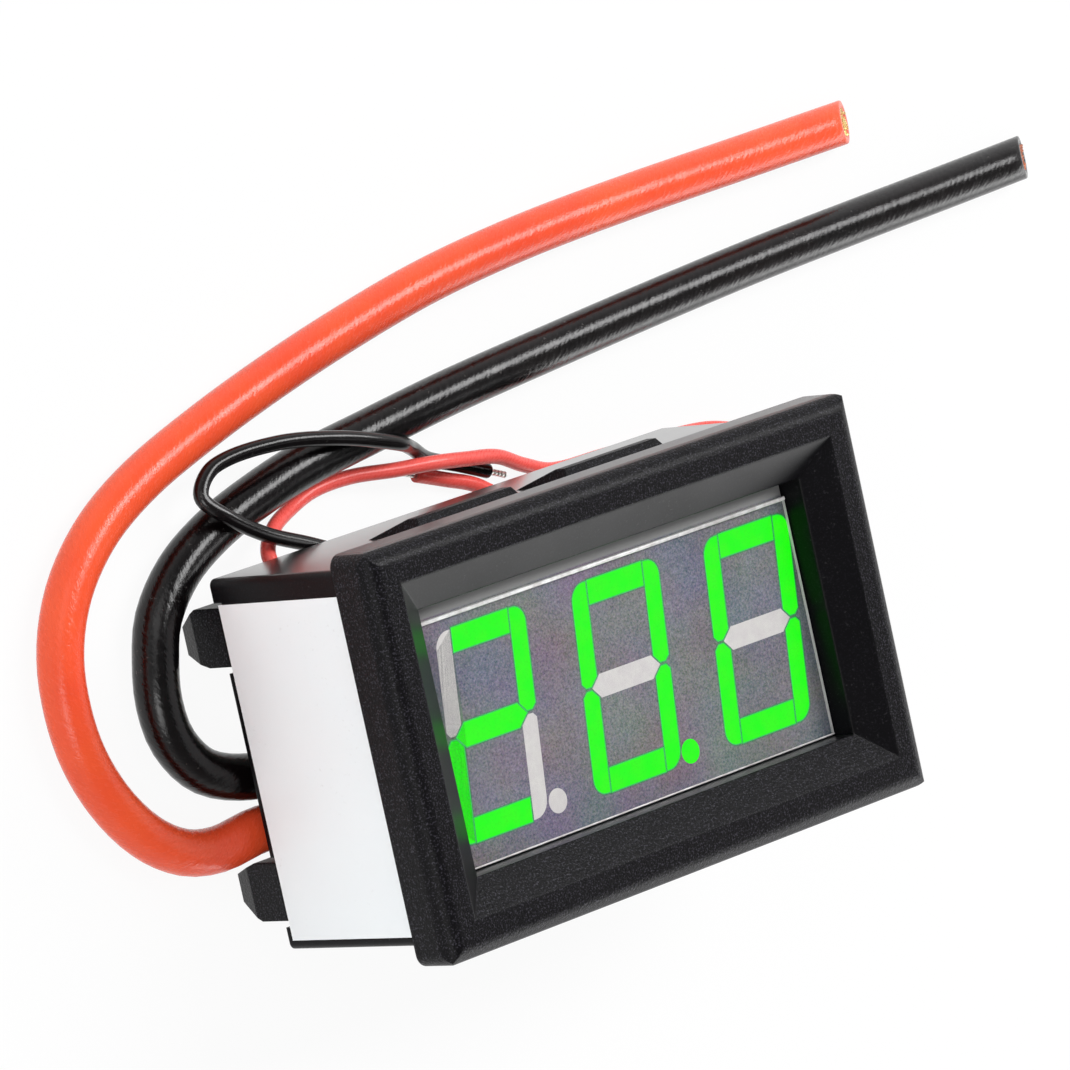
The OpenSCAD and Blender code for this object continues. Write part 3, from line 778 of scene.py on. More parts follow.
@dataclass(frozen=True)
class SolderMask(Finish):
    """Glossy solder mask over copper pours, on a woven board.

    Attributes:
        copper: Colour of the mask where copper lies under it.
        cloth: Colour of the glass cloth that shows through.
        dust: Colour of the dust.
    """

    copper: Rgb = (52, 118, 74)
    cloth: Rgb = (70, 132, 84)
    dust: Rgb = (196, 196, 180)

    def dress(self, graph: Graph, shader: Node) -> None:
        """Raises the copper pours and lets the cloth show faintly.

        Args:
            graph: The material's graph.
            shader: Its Principled BSDF.
        """
        here = graph.here()
        values = {"Vector": here, "Scale": 330.0, "Randomness": 0.75}
        cells = graph.add("TexVoronoi", values, distance="MANHATTAN").outputs["Color"]
        pour = graph.between(graph.add("SeparateColor", {0: cells}).outputs[0], 0.52, 0.54)
        wave = graph.noise(here, scale=1800.0, detail=1.0)[0]
        use = graph.place(Handling(), Vector=here, Amount=0.6, Fineness=4200.0)
        colour = graph.layer(linear(self.colour), pour, share=0.4, over=self.copper)
        colour = graph.tint(graph.between(wave, 0.45, 0.6, 0.0, 0.18), colour, linear(self.cloth))
        colour = graph.layer(colour, use["Dust"], share=0.35, over=self.dust)
        height = graph.plus(pour, graph.times(wave, 0.3))
        self.wire(graph, shader, Base_Color=colour, Normal=graph.bump(height, depth=0.00003, strength=0.5))


@dataclass(frozen=True)
class TwistedTin(Finish):
    """Tinned strands, twisted and soaked in solder.

    Attributes:
        furrow_shade: Colour of the painted shade in the furrows between the strands.
    """

    furrow_shade: Rgb = (104, 98, 92)

    def dress(self, graph: Graph, shader: Node) -> None:
        """Lays slanted furrows over the tin and paints shade into them.

        Args:
            graph: The material's graph.
            shader: Its Principled BSDF.
        """
        here = graph.here()
        turned = graph.add("VectorRotate", {"Vector": here, "Angle": 0.6}).outputs[0]
        values = {"Vector": turned, "Scale": 900.0, "Distortion": 1.5, "Detail": 1.0}
        furrow = graph.add("TexWave", values).outputs["Fac"]
        skin = graph.place(MetalSkin(), Vector=here, Fineness=6000.0)
        # Painted shade: the tin darkens in the furrows between the strands.
        dark = graph.between(furrow, 0.0, 0.6, 0.5, 0.0)
        colour = graph.tint(dark, linear(self.colour), linear(self.furrow_shade))
        normal = graph.bump(graph.plus(furrow, graph.times(skin["Height"], 0.3)), depth=0.00005, strength=0.7)
        self.wire(graph, shader, Base_Color=colour, Metallic=1.0, Normal=normal)


@dataclass(frozen=True)
class CutCopper(Finish):
    """Bright copper of cut strands, tarnished in the gaps.

    Attributes:
        fresh: Colour of the brightest strands.
        tarnish: Colour in the gaps.
    """

    fresh: Rgb = (255, 228, 150)
    tarnish: Rgb = (120, 56, 24)

    def dress(self, graph: Graph, shader: Node) -> None:
        """Tints the strands one by one.

        Args:
            graph: The material's graph.
            shader: Its Principled BSDF.
        """
        here = graph.here()
        each = graph.between(graph.noise(here, scale=3600.0, detail=1.0)[0], 0.35, 0.65)
        skin = graph.place(MetalSkin(), Vector=here, Fineness=9000.0)
        bright = graph.tint(each, linear(self.colour), linear(self.fresh))
        colour = graph.layer(bright, skin["Dull"], share=0.5, over=self.tarnish)
        normal = graph.bump(skin["Height"], depth=0.00002, strength=0.5)
        self.wire(graph, shader, Base_Color=colour, Metallic=0.85, Normal=normal)


CASE = CaseMoulding("case moulding", (8, 7, 10), 0.35)
LABEL = LabelVinyl("label vinyl", (243, 248, 250), 0.34)
PAINT = DisplayPaint("display paint", (98, 100, 108), 0.5)
LIT = LitSegment("lit segment", (20, 254, 0), 0.4)
FRINGE = Fringe("segment fringe", (14, 120, 30), 0.5)
UNLIT = MilkyResin("unlit segment", (208, 206, 203), 0.4)
FILM = TintFilm("tint film", (156, 154, 162), 0.32)
# The pale resin of the film's edge beads is a painted highlight line.
FILM_EDGE_HIGHLIGHT = MilkyResin("film edge highlight", (240, 240, 240), 0.25)
MASK = SolderMask("solder mask", (18, 66, 42), 0.24)
BASE = SolderMask("display base board", (30, 78, 54), 0.3)
TIN = BareMetal("tin", (206, 205, 202), 0.26)
SOLDER = BareMetal("solder", (198, 198, 198), 0.2, dull=(140, 140, 142), fineness=2600.0, depth=0.00004)
ALLOY = BareMetal("shunt alloy", (196, 148, 104), 0.3, dull=(128, 84, 52), fineness=3500.0)
CHIP = Resin("chip resin", (28, 28, 31), 0.52)
RESISTOR = Resin("resistor glaze", (20, 20, 24), 0.3, speck=(70, 70, 76))
CAPACITOR = Resin("capacitor ceramic", (176, 136, 92), 0.42, speck=(206, 170, 122))
TANTALUM = Resin("tantalum resin", (214, 158, 44), 0.45, speck=(240, 196, 96))
TRIMMER = Resin("trimmer body", (36, 84, 160), 0.38, speck=(80, 124, 190))
ROTOR = Resin("trimmer rotor", (214, 210, 200), 0.4, speck=(236, 234, 226))
RED = Sheath(
    "red sheath", (238, 88, 48), 0.22, deep=(222, 58, 40), fineness=4600.0, depth=0.00006, strength=0.7
)
BLACK = Sheath(
    "black sheath", (5, 4, 5), 0.17, deep=(20, 12, 12), fineness=4600.0, depth=0.00006, strength=0.55
)
THIN_RED = Sheath(
    "supply red sheath", (250, 98, 90), 0.26, deep=(238, 78, 72), fineness=9000.0, depth=0.00001, strength=0.3
)
THIN_BLACK = Sheath(
    "supply black sheath", (9, 8, 9), 0.18, deep=(24, 18, 19), fineness=9000.0, depth=0.00002, strength=0.4
)
BRIGHT_COPPER = CutCopper("bright cut copper", (250, 180, 92), 0.26)
RED_COPPER = CutCopper("red cut copper", (168, 84, 52), 0.3, fresh=(206, 124, 84))
TINNED = TwistedTin("tinned strands", (226, 224, 220), 0.28)


class Wardrobe:
    """Makes each finish once and puts it on pieces and CAD nodes."""

    def __init__(self) -> None:
        """Starts with no material made."""
        self.made: dict[str, bpy.types.Material] = {}

    def of(self, finish: Finish) -> bpy.types.Material:
        """Finds the material of a finish, or makes it.

        Args:
            finish: The finish.

        Returns:
            Its material.
        """
        if finish.name not in self.made:
            self.made[finish.name] = finish.make()
        return self.made[finish.name]

    def node(self, name: str, finish: Finish) -> None:
        """Puts a finish on a CAD node's slots.

        Args:
            name: The CAD node.
            finish: What it wears.
        """
        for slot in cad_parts[name].material_slots:
            slot.material = self.of(finish)
        LOG.info("%s: %s", name, finish.name)

    def nodes(self, finishes: dict[str, Finish]) -> None:
        """Puts each CAD node's own finish on it."""
        for name, finish in finishes.items():
            self.node(name, finish)

    def piece(self, piece: Piece, finish: Finish, slot: Slot) -> None:
        """Args:
            piece: The new piece.
            finish: What it wears.
            slot: The record's slot that the finish stands for; not used.
        """
        piece.data.materials.append(self.of(finish))
        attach(piece, BODY)
        LOG.info("%s: %s", piece.name, finish.name)


# ---------------------------------------------------------------- shapes


@dataclass
class Shape:
    """Collects the points and faces of one mesh.

    Attributes:
        points: The vertices.
        faces: Each face's vertices.
        maps: Each face's texture coordinates, where the mesh has any.
    """

    points: list[Vector] = field(default_factory=list)
    faces: list[tuple[int, ...]] = field(default_factory=list)
    maps: list[tuple[tuple[float, float], ...]] = field(default_factory=list)
    uv_name: ClassVar[str] = "Sheath"

    def ring(self, points: Iterable[Vector]) -> range:
        """Adds points.

        Args:
            points: The points, in order.

        Returns:
            Their numbers.
        """
        first = len(self.points)
        self.points.extend(points)
        return range(first, len(self.points))

    def skin(self, low: Sequence[int], high: Sequence[int]) -> None:
        """Joins two closed rings with quads.

        Args:
            low: The first ring.
            high: The second, with as many points.
        """
        n = len(low)
        for k in range(n):
            self.faces.append((low[k], low[(k + 1) % n], high[(k + 1) % n], high[k]))

    def cap(self, ring: Sequence[int], flip: bool = False) -> None:
        """Closes a ring with one face."""
        self.faces.append(tuple(reversed(ring)) if flip else tuple(ring))

    def build(self, name: str, smooth: bool = True) -> Piece:
        """Makes the object.

        Args:
            name: The piece's name.
            smooth: Whether its faces are shaded smooth.

        Returns:
            The new object, in the scene.
        """
        mesh = bpy.data.meshes.new(name)
        mesh.from_pydata([tuple(p) for p in self.points], [], self.faces)
        if self.maps:
            layer = mesh.uv_layers.new(name=self.uv_name)
            flat = [uv for face in self.maps for uv in face]
            for loop, uv in zip(layer.data, flat):
                loop.uv = uv
        mesh.update()
        if smooth:
            mesh.polygons.foreach_set("use_smooth", [True] * len(mesh.polygons))
        piece = bpy.data.objects.new(name, mesh)
        bpy.context.scene.collection.objects.link(piece)
        return piece


class Line:
    """A smooth line through given points, measured along its length."""

    def __init__(self, points: Sequence[Vector], step: float) -> None:
        """Rounds the route with a cubic through every point.

        Args:
            points: The points, in order.
            step: Distance between the samples.
        """
        knots = [0.0]
        for a, b in zip(points, points[1:]):
            knots.append(knots[-1] + (b - a).length)
        slopes = []
        for i in range(len(points)):
            a, b = max(i - 1, 0), min(i + 1, len(points) - 1)
            slopes.append((points[b] - points[a]) / (knots[b] - knots[a]))
        self.points: list[Vector] = []
        for i in range(len(points) - 1):
            span = knots[i + 1] - knots[i]
            parts = max(1, round(span / step))
            for k in range(parts + (i == len(points) - 2)):
                t = k / parts
                point = (2 * t**3 - 3 * t**2 + 1) * points[i] + (t**3 - 2 * t**2 + t) * span * slopes[i]
                point += (3 * t**2 - 2 * t**3) * points[i + 1]
                point += (t**3 - t**2) * span * slopes[i + 1]
                self.points.append(point)
        self.marks = [0.0]
        for a, b in zip(self.points, self.points[1:]):
            self.marks.append(self.marks[-1] + (b - a).length)

    @property
    def length(self) -> float:
        """The line's length."""
        return self.marks[-1]

    def at(self, mark: float) -> tuple[Vector, Vector, Vector, Vector]:
        """The line's frame at a distance from its start; it goes straight on past its ends.

        Args:
            mark: The distance from the start.

        Returns:
            The point, the direction, the level side and the upper side.
        """
        i = next((n for n in range(1, len(self.marks)) if self.marks[n] >= mark), len(self.marks) - 1)
        a, b = self.points[i - 1], self.points[i]
        t = (mark - self.marks[i - 1]) / (self.marks[i] - self.marks[i - 1])
        way = (b - a).normalized()
        if 1 < i < len(self.marks) - 1:
            before = (self.points[i] - self.points[i - 2]).normalized()
            after = (self.points[i + 1] - self.points[i - 1]).normalized()
            way = before.lerp(after, t).normalized()
        side = way.cross(Vector((0.0, 0.0, 1.0))).normalized()
        return a.lerp(b, t), way, side, side.cross(way)

    def circle(self, mark: float, radius: float, sides: int) -> list[Vector]:
        """Places points round the line, from its under side.

        Args:
            mark: The distance from the line's start.
            radius: The circle's radius.
            sides: How many points it has.

        Returns:
            The points, in order.
        """
        place, _, side, up = self.at(mark)
        turns = [2 * math.pi * k / sides - math.pi / 2 for k in range(sides)]
        return [place + radius * (math.cos(a) * side + math.sin(a) * up) for a in turns]


@dataclass
class Lead:
    """One lead: a sheath with open mouths at its ends.

    Attributes:
        name: The CAD node of its sheath.
        route: Its route's points, in metres.
        diameter: Outer diameter.
        bore: Diameter of the core's bore.
        finish: What its sheath wears.
        slot: The record's slot of the sheath.
        parts: The CAD nodes that go on it.
        limp: Whether it is limp; not used.
        slant: How far the free end's cut runs back for each unit of height.
        mouth: Depth of the open mouth at its free end.
        sides: Sides of the sheath.
        step: Distance between the route's samples, as a share of the diameter.
        lip: Size of the ends' rounded edges, as a share of the radius.
        line: The smooth line through the route's points.
    """

    name: str
    route: tuple[Point, ...]
    diameter: float
    bore: float
    finish: Finish
    slot: Slot
    parts: tuple[str, ...] = ()
    limp: bool = False
    slant: float = 0.0
    mouth: float = 0.001
    sides: int = 40
    step: float = 0.28
    lip: float = 0.09
    line: Line = field(init=False)

    def __post_init__(self) -> None:
        """Rounds the route."""
        self.line = Line([Vector(p) for p in self.route], self.diameter * self.step)

    def profile(self) -> list[tuple[float, float, float]]:
        """Lays out the sheath's rings from one mouth to the other.

        Returns:
            Each ring's place along the line, radius and slant.
        """
        r, b, full = self.diameter / 2, self.bore / 2, self.line.length
        lip = r * self.lip
        part, middle = lip * 0.3, (b + r) / 2
        start = [(self.mouth * 0.4, b), (part, b), (0.0, middle), (0.0, r - lip), (part, r - part)]
        end = [(full - lip, r), (full - part, r - part), (full, r - lip), (full, middle)]
        end += [(full - lip * 0.5, b), (full - self.mouth, b * 0.98)]
        stop = full - r * (self.slant + 0.25)
        body = [(mark, r, 0.0) for mark in self.line.marks[1:-1] if mark < stop]
        return [(m, q, 0.0) for m, q in start] + body + [(m, q, self.slant) for m, q in end]

    def build(self) -> Piece:
        """Sweeps the sheath from mouth to mouth.

        Returns:
            The sheath.
        """
        shape, rings = Shape(), []
        around = [math.pi * self.diameter * k / self.sides for k in range(self.sides + 1)]
        turns = [2 * math.pi * k / self.sides - math.pi / 2 for k in range(self.sides + 1)]
        for mark, radius, slant in self.profile():
            _, way, _, _ = self.line.at(mark)
            back = [slant * radius * math.sin(a) for a in turns]
            points = self.line.circle(mark, radius, self.sides)
            ring = shape.ring(p - way * s for p, s in zip(points, back))
            rings.append((ring, [mark - s for s in back]))
        for (low, m0), (high, m1) in zip(rings, rings[1:]):
            shape.skin(low, high)
            for k in range(self.sides):
                u0, u1 = around[k], around[k + 1]
                shape.maps.append(((u0, m0[k]), (u1, m0[k + 1]), (u1, m1[k + 1]), (u0, m1[k])))
        for ring, flip in ((rings[0][0], True), (rings[-1][0], False)):
            shape.cap(ring, flip)
            shape.maps.append(tuple((0.0, 0.0) for _ in ring))
        return shape.build(f"{self.name}_sheath")

    def lay(self, wardrobe: Wardrobe, others: Sequence[Piece] = ()) -> Piece:
        """Args:
            wardrobe: Where its finish comes from.
            others: New pieces that go on it; not used.

        Returns:
            The sheath.
        """
        sheath = self.build()
        wardrobe.piece(sheath, self.finish, self.slot)
        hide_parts(self.name)
        LOG.info("%s: %.1f mm long", sheath.name, self.line.length / MM)
        return sheath


@dataclass
class Core:
    """The stranded core of a current lead: a bundle in the sheath, and its cut strands in the mouth.

    Attributes:
        lead: The lead that it fills.
        nodes: The CAD nodes that it replaces.
        finish: What it wears.
        seed: Seed of the strands' uneven ends.
        strand: Diameter of a strand.
        twist: Turns of the bundle, in radians for each metre.
        inset: How far inside the lead's first end the bundle begins.
        short: How far before the free end it stops.
        deep: How far back from the cut each strand is made.
        jitter: Most error of a strand's place round the middle, in radians.
        uneven: How far a strand's end may lie behind the cut, least and most.
        lean: Most error of its end's height.
        sides: Sides of the bundle and of a strand.
    """

    lead: Lead
    nodes: tuple[str, str]
    finish: Finish
    seed: int
    strand: float = 0.2 * MM
    twist: float = 260.0
    inset: float = 0.1 * MM
    short: float = 3.2 * MM
    deep: float = 1.8 * MM
    jitter: float = 0.04
    uneven: tuple[float, float] = (-0.12 * MM, 0.38 * MM)
    lean: float = 0.06 * MM
    sides: tuple[int, int] = (12, 7)

    def build(self) -> Piece:
        """Runs the bundle through the sheath, packs the strands in rings and cuts each one differently.

        Returns:
            The core.
        """
        rand = random.Random(self.seed)
        shape, line = Shape(), self.lead.line
        room = self.lead.bore / 2 - self.strand * 0.6
        below = shape.ring(line.circle(self.inset, room, self.sides[0]))
        shape.cap(below, flip=True)
        for mark in [m for m in line.marks if 2 * self.inset < m < line.length - self.short]:
            ring = shape.ring(line.circle(mark, room, self.sides[0]))
            shape.skin(below, ring)
            below = ring
        shape.cap(below)
        count = int(room / self.strand)
        for n in range(count + 1):
            many = max(1, 6 * n)
            for k in range(many):
                angle = 2 * math.pi * k / many + rand.uniform(-self.jitter, self.jitter)
                self.add_strand(shape, n * room / count, angle, rand)
        return shape.build(f"{self.nodes[0]}_strands")

    def add_strand(self, shape: Shape, out: float, angle: float, rand: random.Random) -> None:
        """Adds one cut strand.

        Args:
            shape: Where it goes.
            out: Its distance from the lead's middle.
            angle: Where it stands round the middle at the lead's end.
            rand: Source of its small errors.
        """
        line = self.lead.line
        full = top = line.length
        for _ in range(4):
            top = full - self.lead.slant * out * math.sin(angle + self.twist * (top - full))
        top -= rand.uniform(*self.uneven)
        lean, radius = rand.uniform(-self.lean, self.lean), self.strand / 2
        spots = [2 * math.pi * k / self.sides[1] for k in range(self.sides[1])]
        below: range | None = None
        for depth, size in ((self.deep, 1.0), (self.deep / 2, 1.0), (0.04 * MM, 0.98), (0.0, 0.7)):
            place, _, side, up = line.at(top - depth)
            turn = angle + self.twist * (top - depth - full)
            middle = place + out * (math.cos(turn) * side + math.sin(turn) * up)
            middle += lean * (1 - depth / self.deep) * up
            ring = shape.ring(middle + radius * size * (math.cos(a) * side + math.sin(a) * up) for a in spots)
            if below is not None:
                shape.skin(below, ring)
            below = ring
        shape.cap(below)

    def fit(self, wardrobe: Wardrobe) -> Piece:
        """Args:
            wardrobe: Where its finish comes from.

        Returns:
            The core.
        """
        piece = self.build()
        wardrobe.piece(piece, self.finish, Slot.COPPER)
        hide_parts(*self.nodes)
        LOG.info("%s: %d faces", piece.name, len(piece.data.polygons))
        return piece


def metres(points: Sequence[Sequence[float]]) -> tuple[Point, ...]:
    """Turns a route written in millimetres into metres."""
    return tuple(tuple(c * MM for c in p) for p in points)


@dataclass
class Leads:
    """The four leads of the meter, in the order in which they leave the board."""

    red: Lead = field(
        default_factory=lambda: Lead(
            "red_lead",
            metres([
                (-13, -5.6, 3.2), (-16, -5.6, 3.2), (-20.8, -4.95, 2.5), (-24.5, -5.4, 1.8),
                (-27.5, -4.8, 1.65), (-30.5, -2.8, 1.65), (-33, 0.5, 1.65), (-34.5, 4.5, 1.65),
                (-34.7, 9, 1.65), (-33.8, 12.5, 1.65), (-31.8, 15.7, 1.65), (-28.5, 18.6, 1.65),
                (-24, 20.9, 1.65), (-18, 22.9, 1.65),
                (-11, 24.8, 1.65), (-3, 26.6, 1.65), (6, 28.2, 1.65), (16, 29.2, 1.65), (27, 29.7, 1.65),
                (39, 30, 1.65), (50.4, 30.3, 1.65),
            ]),
            diameter=3.3 * MM, bore=2.2 * MM, finish=RED, slot=Slot.LEAD_RED, slant=1.2,
        )
    )
    black: Lead = field(
        default_factory=lambda: Lead(
            "black_lead",
            metres([
                (-13, -1.4, 3.2), (-16, -1.4, 3.2), (-20.8, -1.2, 2.5), (-24.2, 0.1, 1.8), (-26.2, 2.7, 1.65),
                (-26.7, 5.6, 1.65), (-26.2, 8.5, 1.65), (-25.1, 11.3, 1.65), (-22.4, 14, 1.65),
                (-18.7, 15.9, 1.65), (-14.5, 17.2, 1.65), (-9.5, 18.3, 1.65), (-3, 19.1, 1.65),
                (6, 20.1, 1.65), (16, 20.9, 1.65), (27, 21.7, 1.65), (38, 22.4, 1.65),
                (49, 22.9, 1.65), (59, 23.3, 1.65), (68.4, 23.7, 1.65),
            ]),
            diameter=3.3 * MM, bore=2.2 * MM, finish=BLACK, slot=Slot.LEAD_BLACK, slant=1.15,
        )
    )
    supply_red: Lead = field(
        default_factory=lambda: Lead(
            "supply_red_lead",
            metres([
                (-13.2, 9, 4.3), (-15, 11.2, 4), (-15.4, 13.2, 3.2), (-13.8, 14.7, 2.3), (-11, 15.6, 1.3),
                (-8, 16.3, 0.9), (-4.5, 16.4, 1), (-1, 16, 1.8), (2.2, 15.7, 2.45), (5.5, 15.2, 2.2),
                (8.8, 14.6, 1.8), (11.8, 13.3, 1.1), (15, 12.2, 0.6), (20, 12, 0.55), (26.5, 11.8, 0.55),
                (32, 11.2, 0.55), (36.3, 9.2, 0.55), (37.6, 5.8, 0.55), (35.5, 3, 0.55), (30.5, 2.2, 0.55),
                (24.5, 2.8, 0.55), (18.5, 4.9, 0.55), (13.5, 8, 0.55), (10.2, 10.9, 0.55), (7.4, 12.9, 0.55),
                (4.6, 14, 0.55), (1.9, 15, 0.55),
            ]),
            diameter=1.1 * MM, bore=0.52 * MM, finish=THIN_RED, slot=Slot.SUPPLY_RED,
            parts=("supply_red_tip",), limp=True, mouth=0.2 * MM, sides=24,
        )
    )
    supply_black: Lead = field(
        default_factory=lambda: Lead(
            "supply_black_lead",
            metres([
                (-6.6, 10.2, 4.3), (-9, 11.6, 4.3), (-12.2, 13.2, 4.2), (-16, 14.9, 4.1), (-19, 16.9, 4),
                (-20.4, 18.7, 3.4), (-18.3, 20.4, 3), (-13, 20.7, 3.6), (-7.3, 19.7, 4.1), (-2.1, 18.1, 3.9),
                (0.6, 17.2, 2.2), (3.4, 15.8, 0.6), (6.2, 14.7, 0.55), (8.8, 13.6, 0.55),
            ]),
            diameter=1.1 * MM, bore=0.52 * MM, finish=THIN_BLACK, slot=Slot.LEAD_BLACK,
            parts=("supply_black_tip",), limp=True, mouth=0.2 * MM, sides=24,
        )
    )

    def lay(self, wardrobe: Wardrobe) -> None:
        """Lays the four leads, with stranded cores in the current leads and tinned tips on the others.

        Args:
            wardrobe: Where the finishes come from.
        """
        cores = (
            Core(self.red, ("red_core", "red_strands"), BRIGHT_COPPER, seed=7),
            Core(self.black, ("black_core", "black_strands"), RED_COPPER, seed=11),
        )
        for core in cores:
            core.lead.lay(wardrobe, [core.fit(wardrobe)])
        for lead in (self.supply_red, self.supply_black):
            lead.lay(wardrobe)
            wardrobe.node(lead.parts[0], TINNED)


@dataclass
class Case:
    """The moulded case and its blank label.

    Attributes:
        finishes: What each of its nodes wears.
    """

    finishes: dict[str, Finish] = field(default_factory=lambda: {"case": CASE, "side_label": LABEL})

    def dress(self, wardrobe: Wardrobe) -> None:
        """Dresses the case and the label.

        Args:
            wardrobe: Where their finishes come from.
        """
        wardrobe.nodes(self.finishes)
        low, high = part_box("case")
        LOG.info("case: %s mm", [round(c / MM, 1) for c in high - low])


@dataclass
class Digit:
    """One seven-segment digit of the display.

    Attributes:
        number: Its place from the left.
        lit: Its lit segments.
        middle: Place of its middle on the face.
        size: Width and height.
        upright: Width of its upright segments.
        level: Width of its level segments.
        gap: Gap between segments.
        slant: Lean, as run over rise.
        tip: How far the middle segment's points reach past the uprights' inner edges.
        corner: Radius of the outer corners.
        inset: How much lower the uprights stand than the level segments.
        split: How much further than half the gap an upright keeps from the middle.
        chamfer: Size of the cut at an upright's outer end.
        diagonal: How much longer a slanting gap measures along an edge than across.
    """

    number: int
    lit: str
    middle: tuple[float, float]
    size: tuple[float, float] = (8.6 * MM, 14.7 * MM)
    upright: float = 1.45 * MM
    level: float = 1.65 * MM
    gap: float = 0.14 * MM
    slant: float = 0.128
    tip: float = 0.55 * MM
    corner: float = 1.15 * MM
    inset: float = 0.05 * MM
    split: float = 0.08 * MM
    chamfer: float = 0.35 * MM
    diagonal: float = 1.42

    def outline(self, segment: str) -> list[tuple[float, float]]:
        """The corners of one segment, about the digit's middle and before it leans.

        Args:
            segment: Its letter, from a to g.

        Returns:
            The corners, in order.
        """
        out, half = self.size[0] / 2, self.size[1] / 2
        inner, tip = out - self.upright, out - self.upright + self.tip
        low, reach, spread = self.gap / 2 + self.split, self.corner, self.diagonal * self.gap
        if segment == "g":
            s = self.level / 2
            return [(-tip, 0), (-tip + s, -s), (tip - s, -s), (tip, 0), (tip - s, s), (-tip + s, s)]
        if segment in "ad":
            x, y = inner - self.gap, half
            corners = [(-x, y - self.level), (x, y - self.level), (x, y), (-x, y)]
            return corners if segment == "a" else [(px, -py) for px, py in corners]
        top = half - self.inset
        arc = [math.radians(90 - 15 * k) for k in range(7)]
        corners = [(inner, top)]
        corners += [(out - reach + reach * math.cos(a), top - reach + reach * math.sin(a)) for a in arc]
        corners += [(out, low + self.chamfer), (out - self.chamfer, low)]
        corners += [(tip + spread - low, low), (inner, tip - inner + spread)]
        sx, sy = (1 if segment in "bc" else -1), (1 if segment in "bf" else -1)
        return [(sx * px, sy * py) for px, py in corners]

    def place(self, corner: tuple[float, float], z: float) -> Vector:
        """Leans a corner and puts it on the face."""
        return Vector((self.middle[0] + corner[0] + self.slant * corner[1], self.middle[1] + corner[1], z))


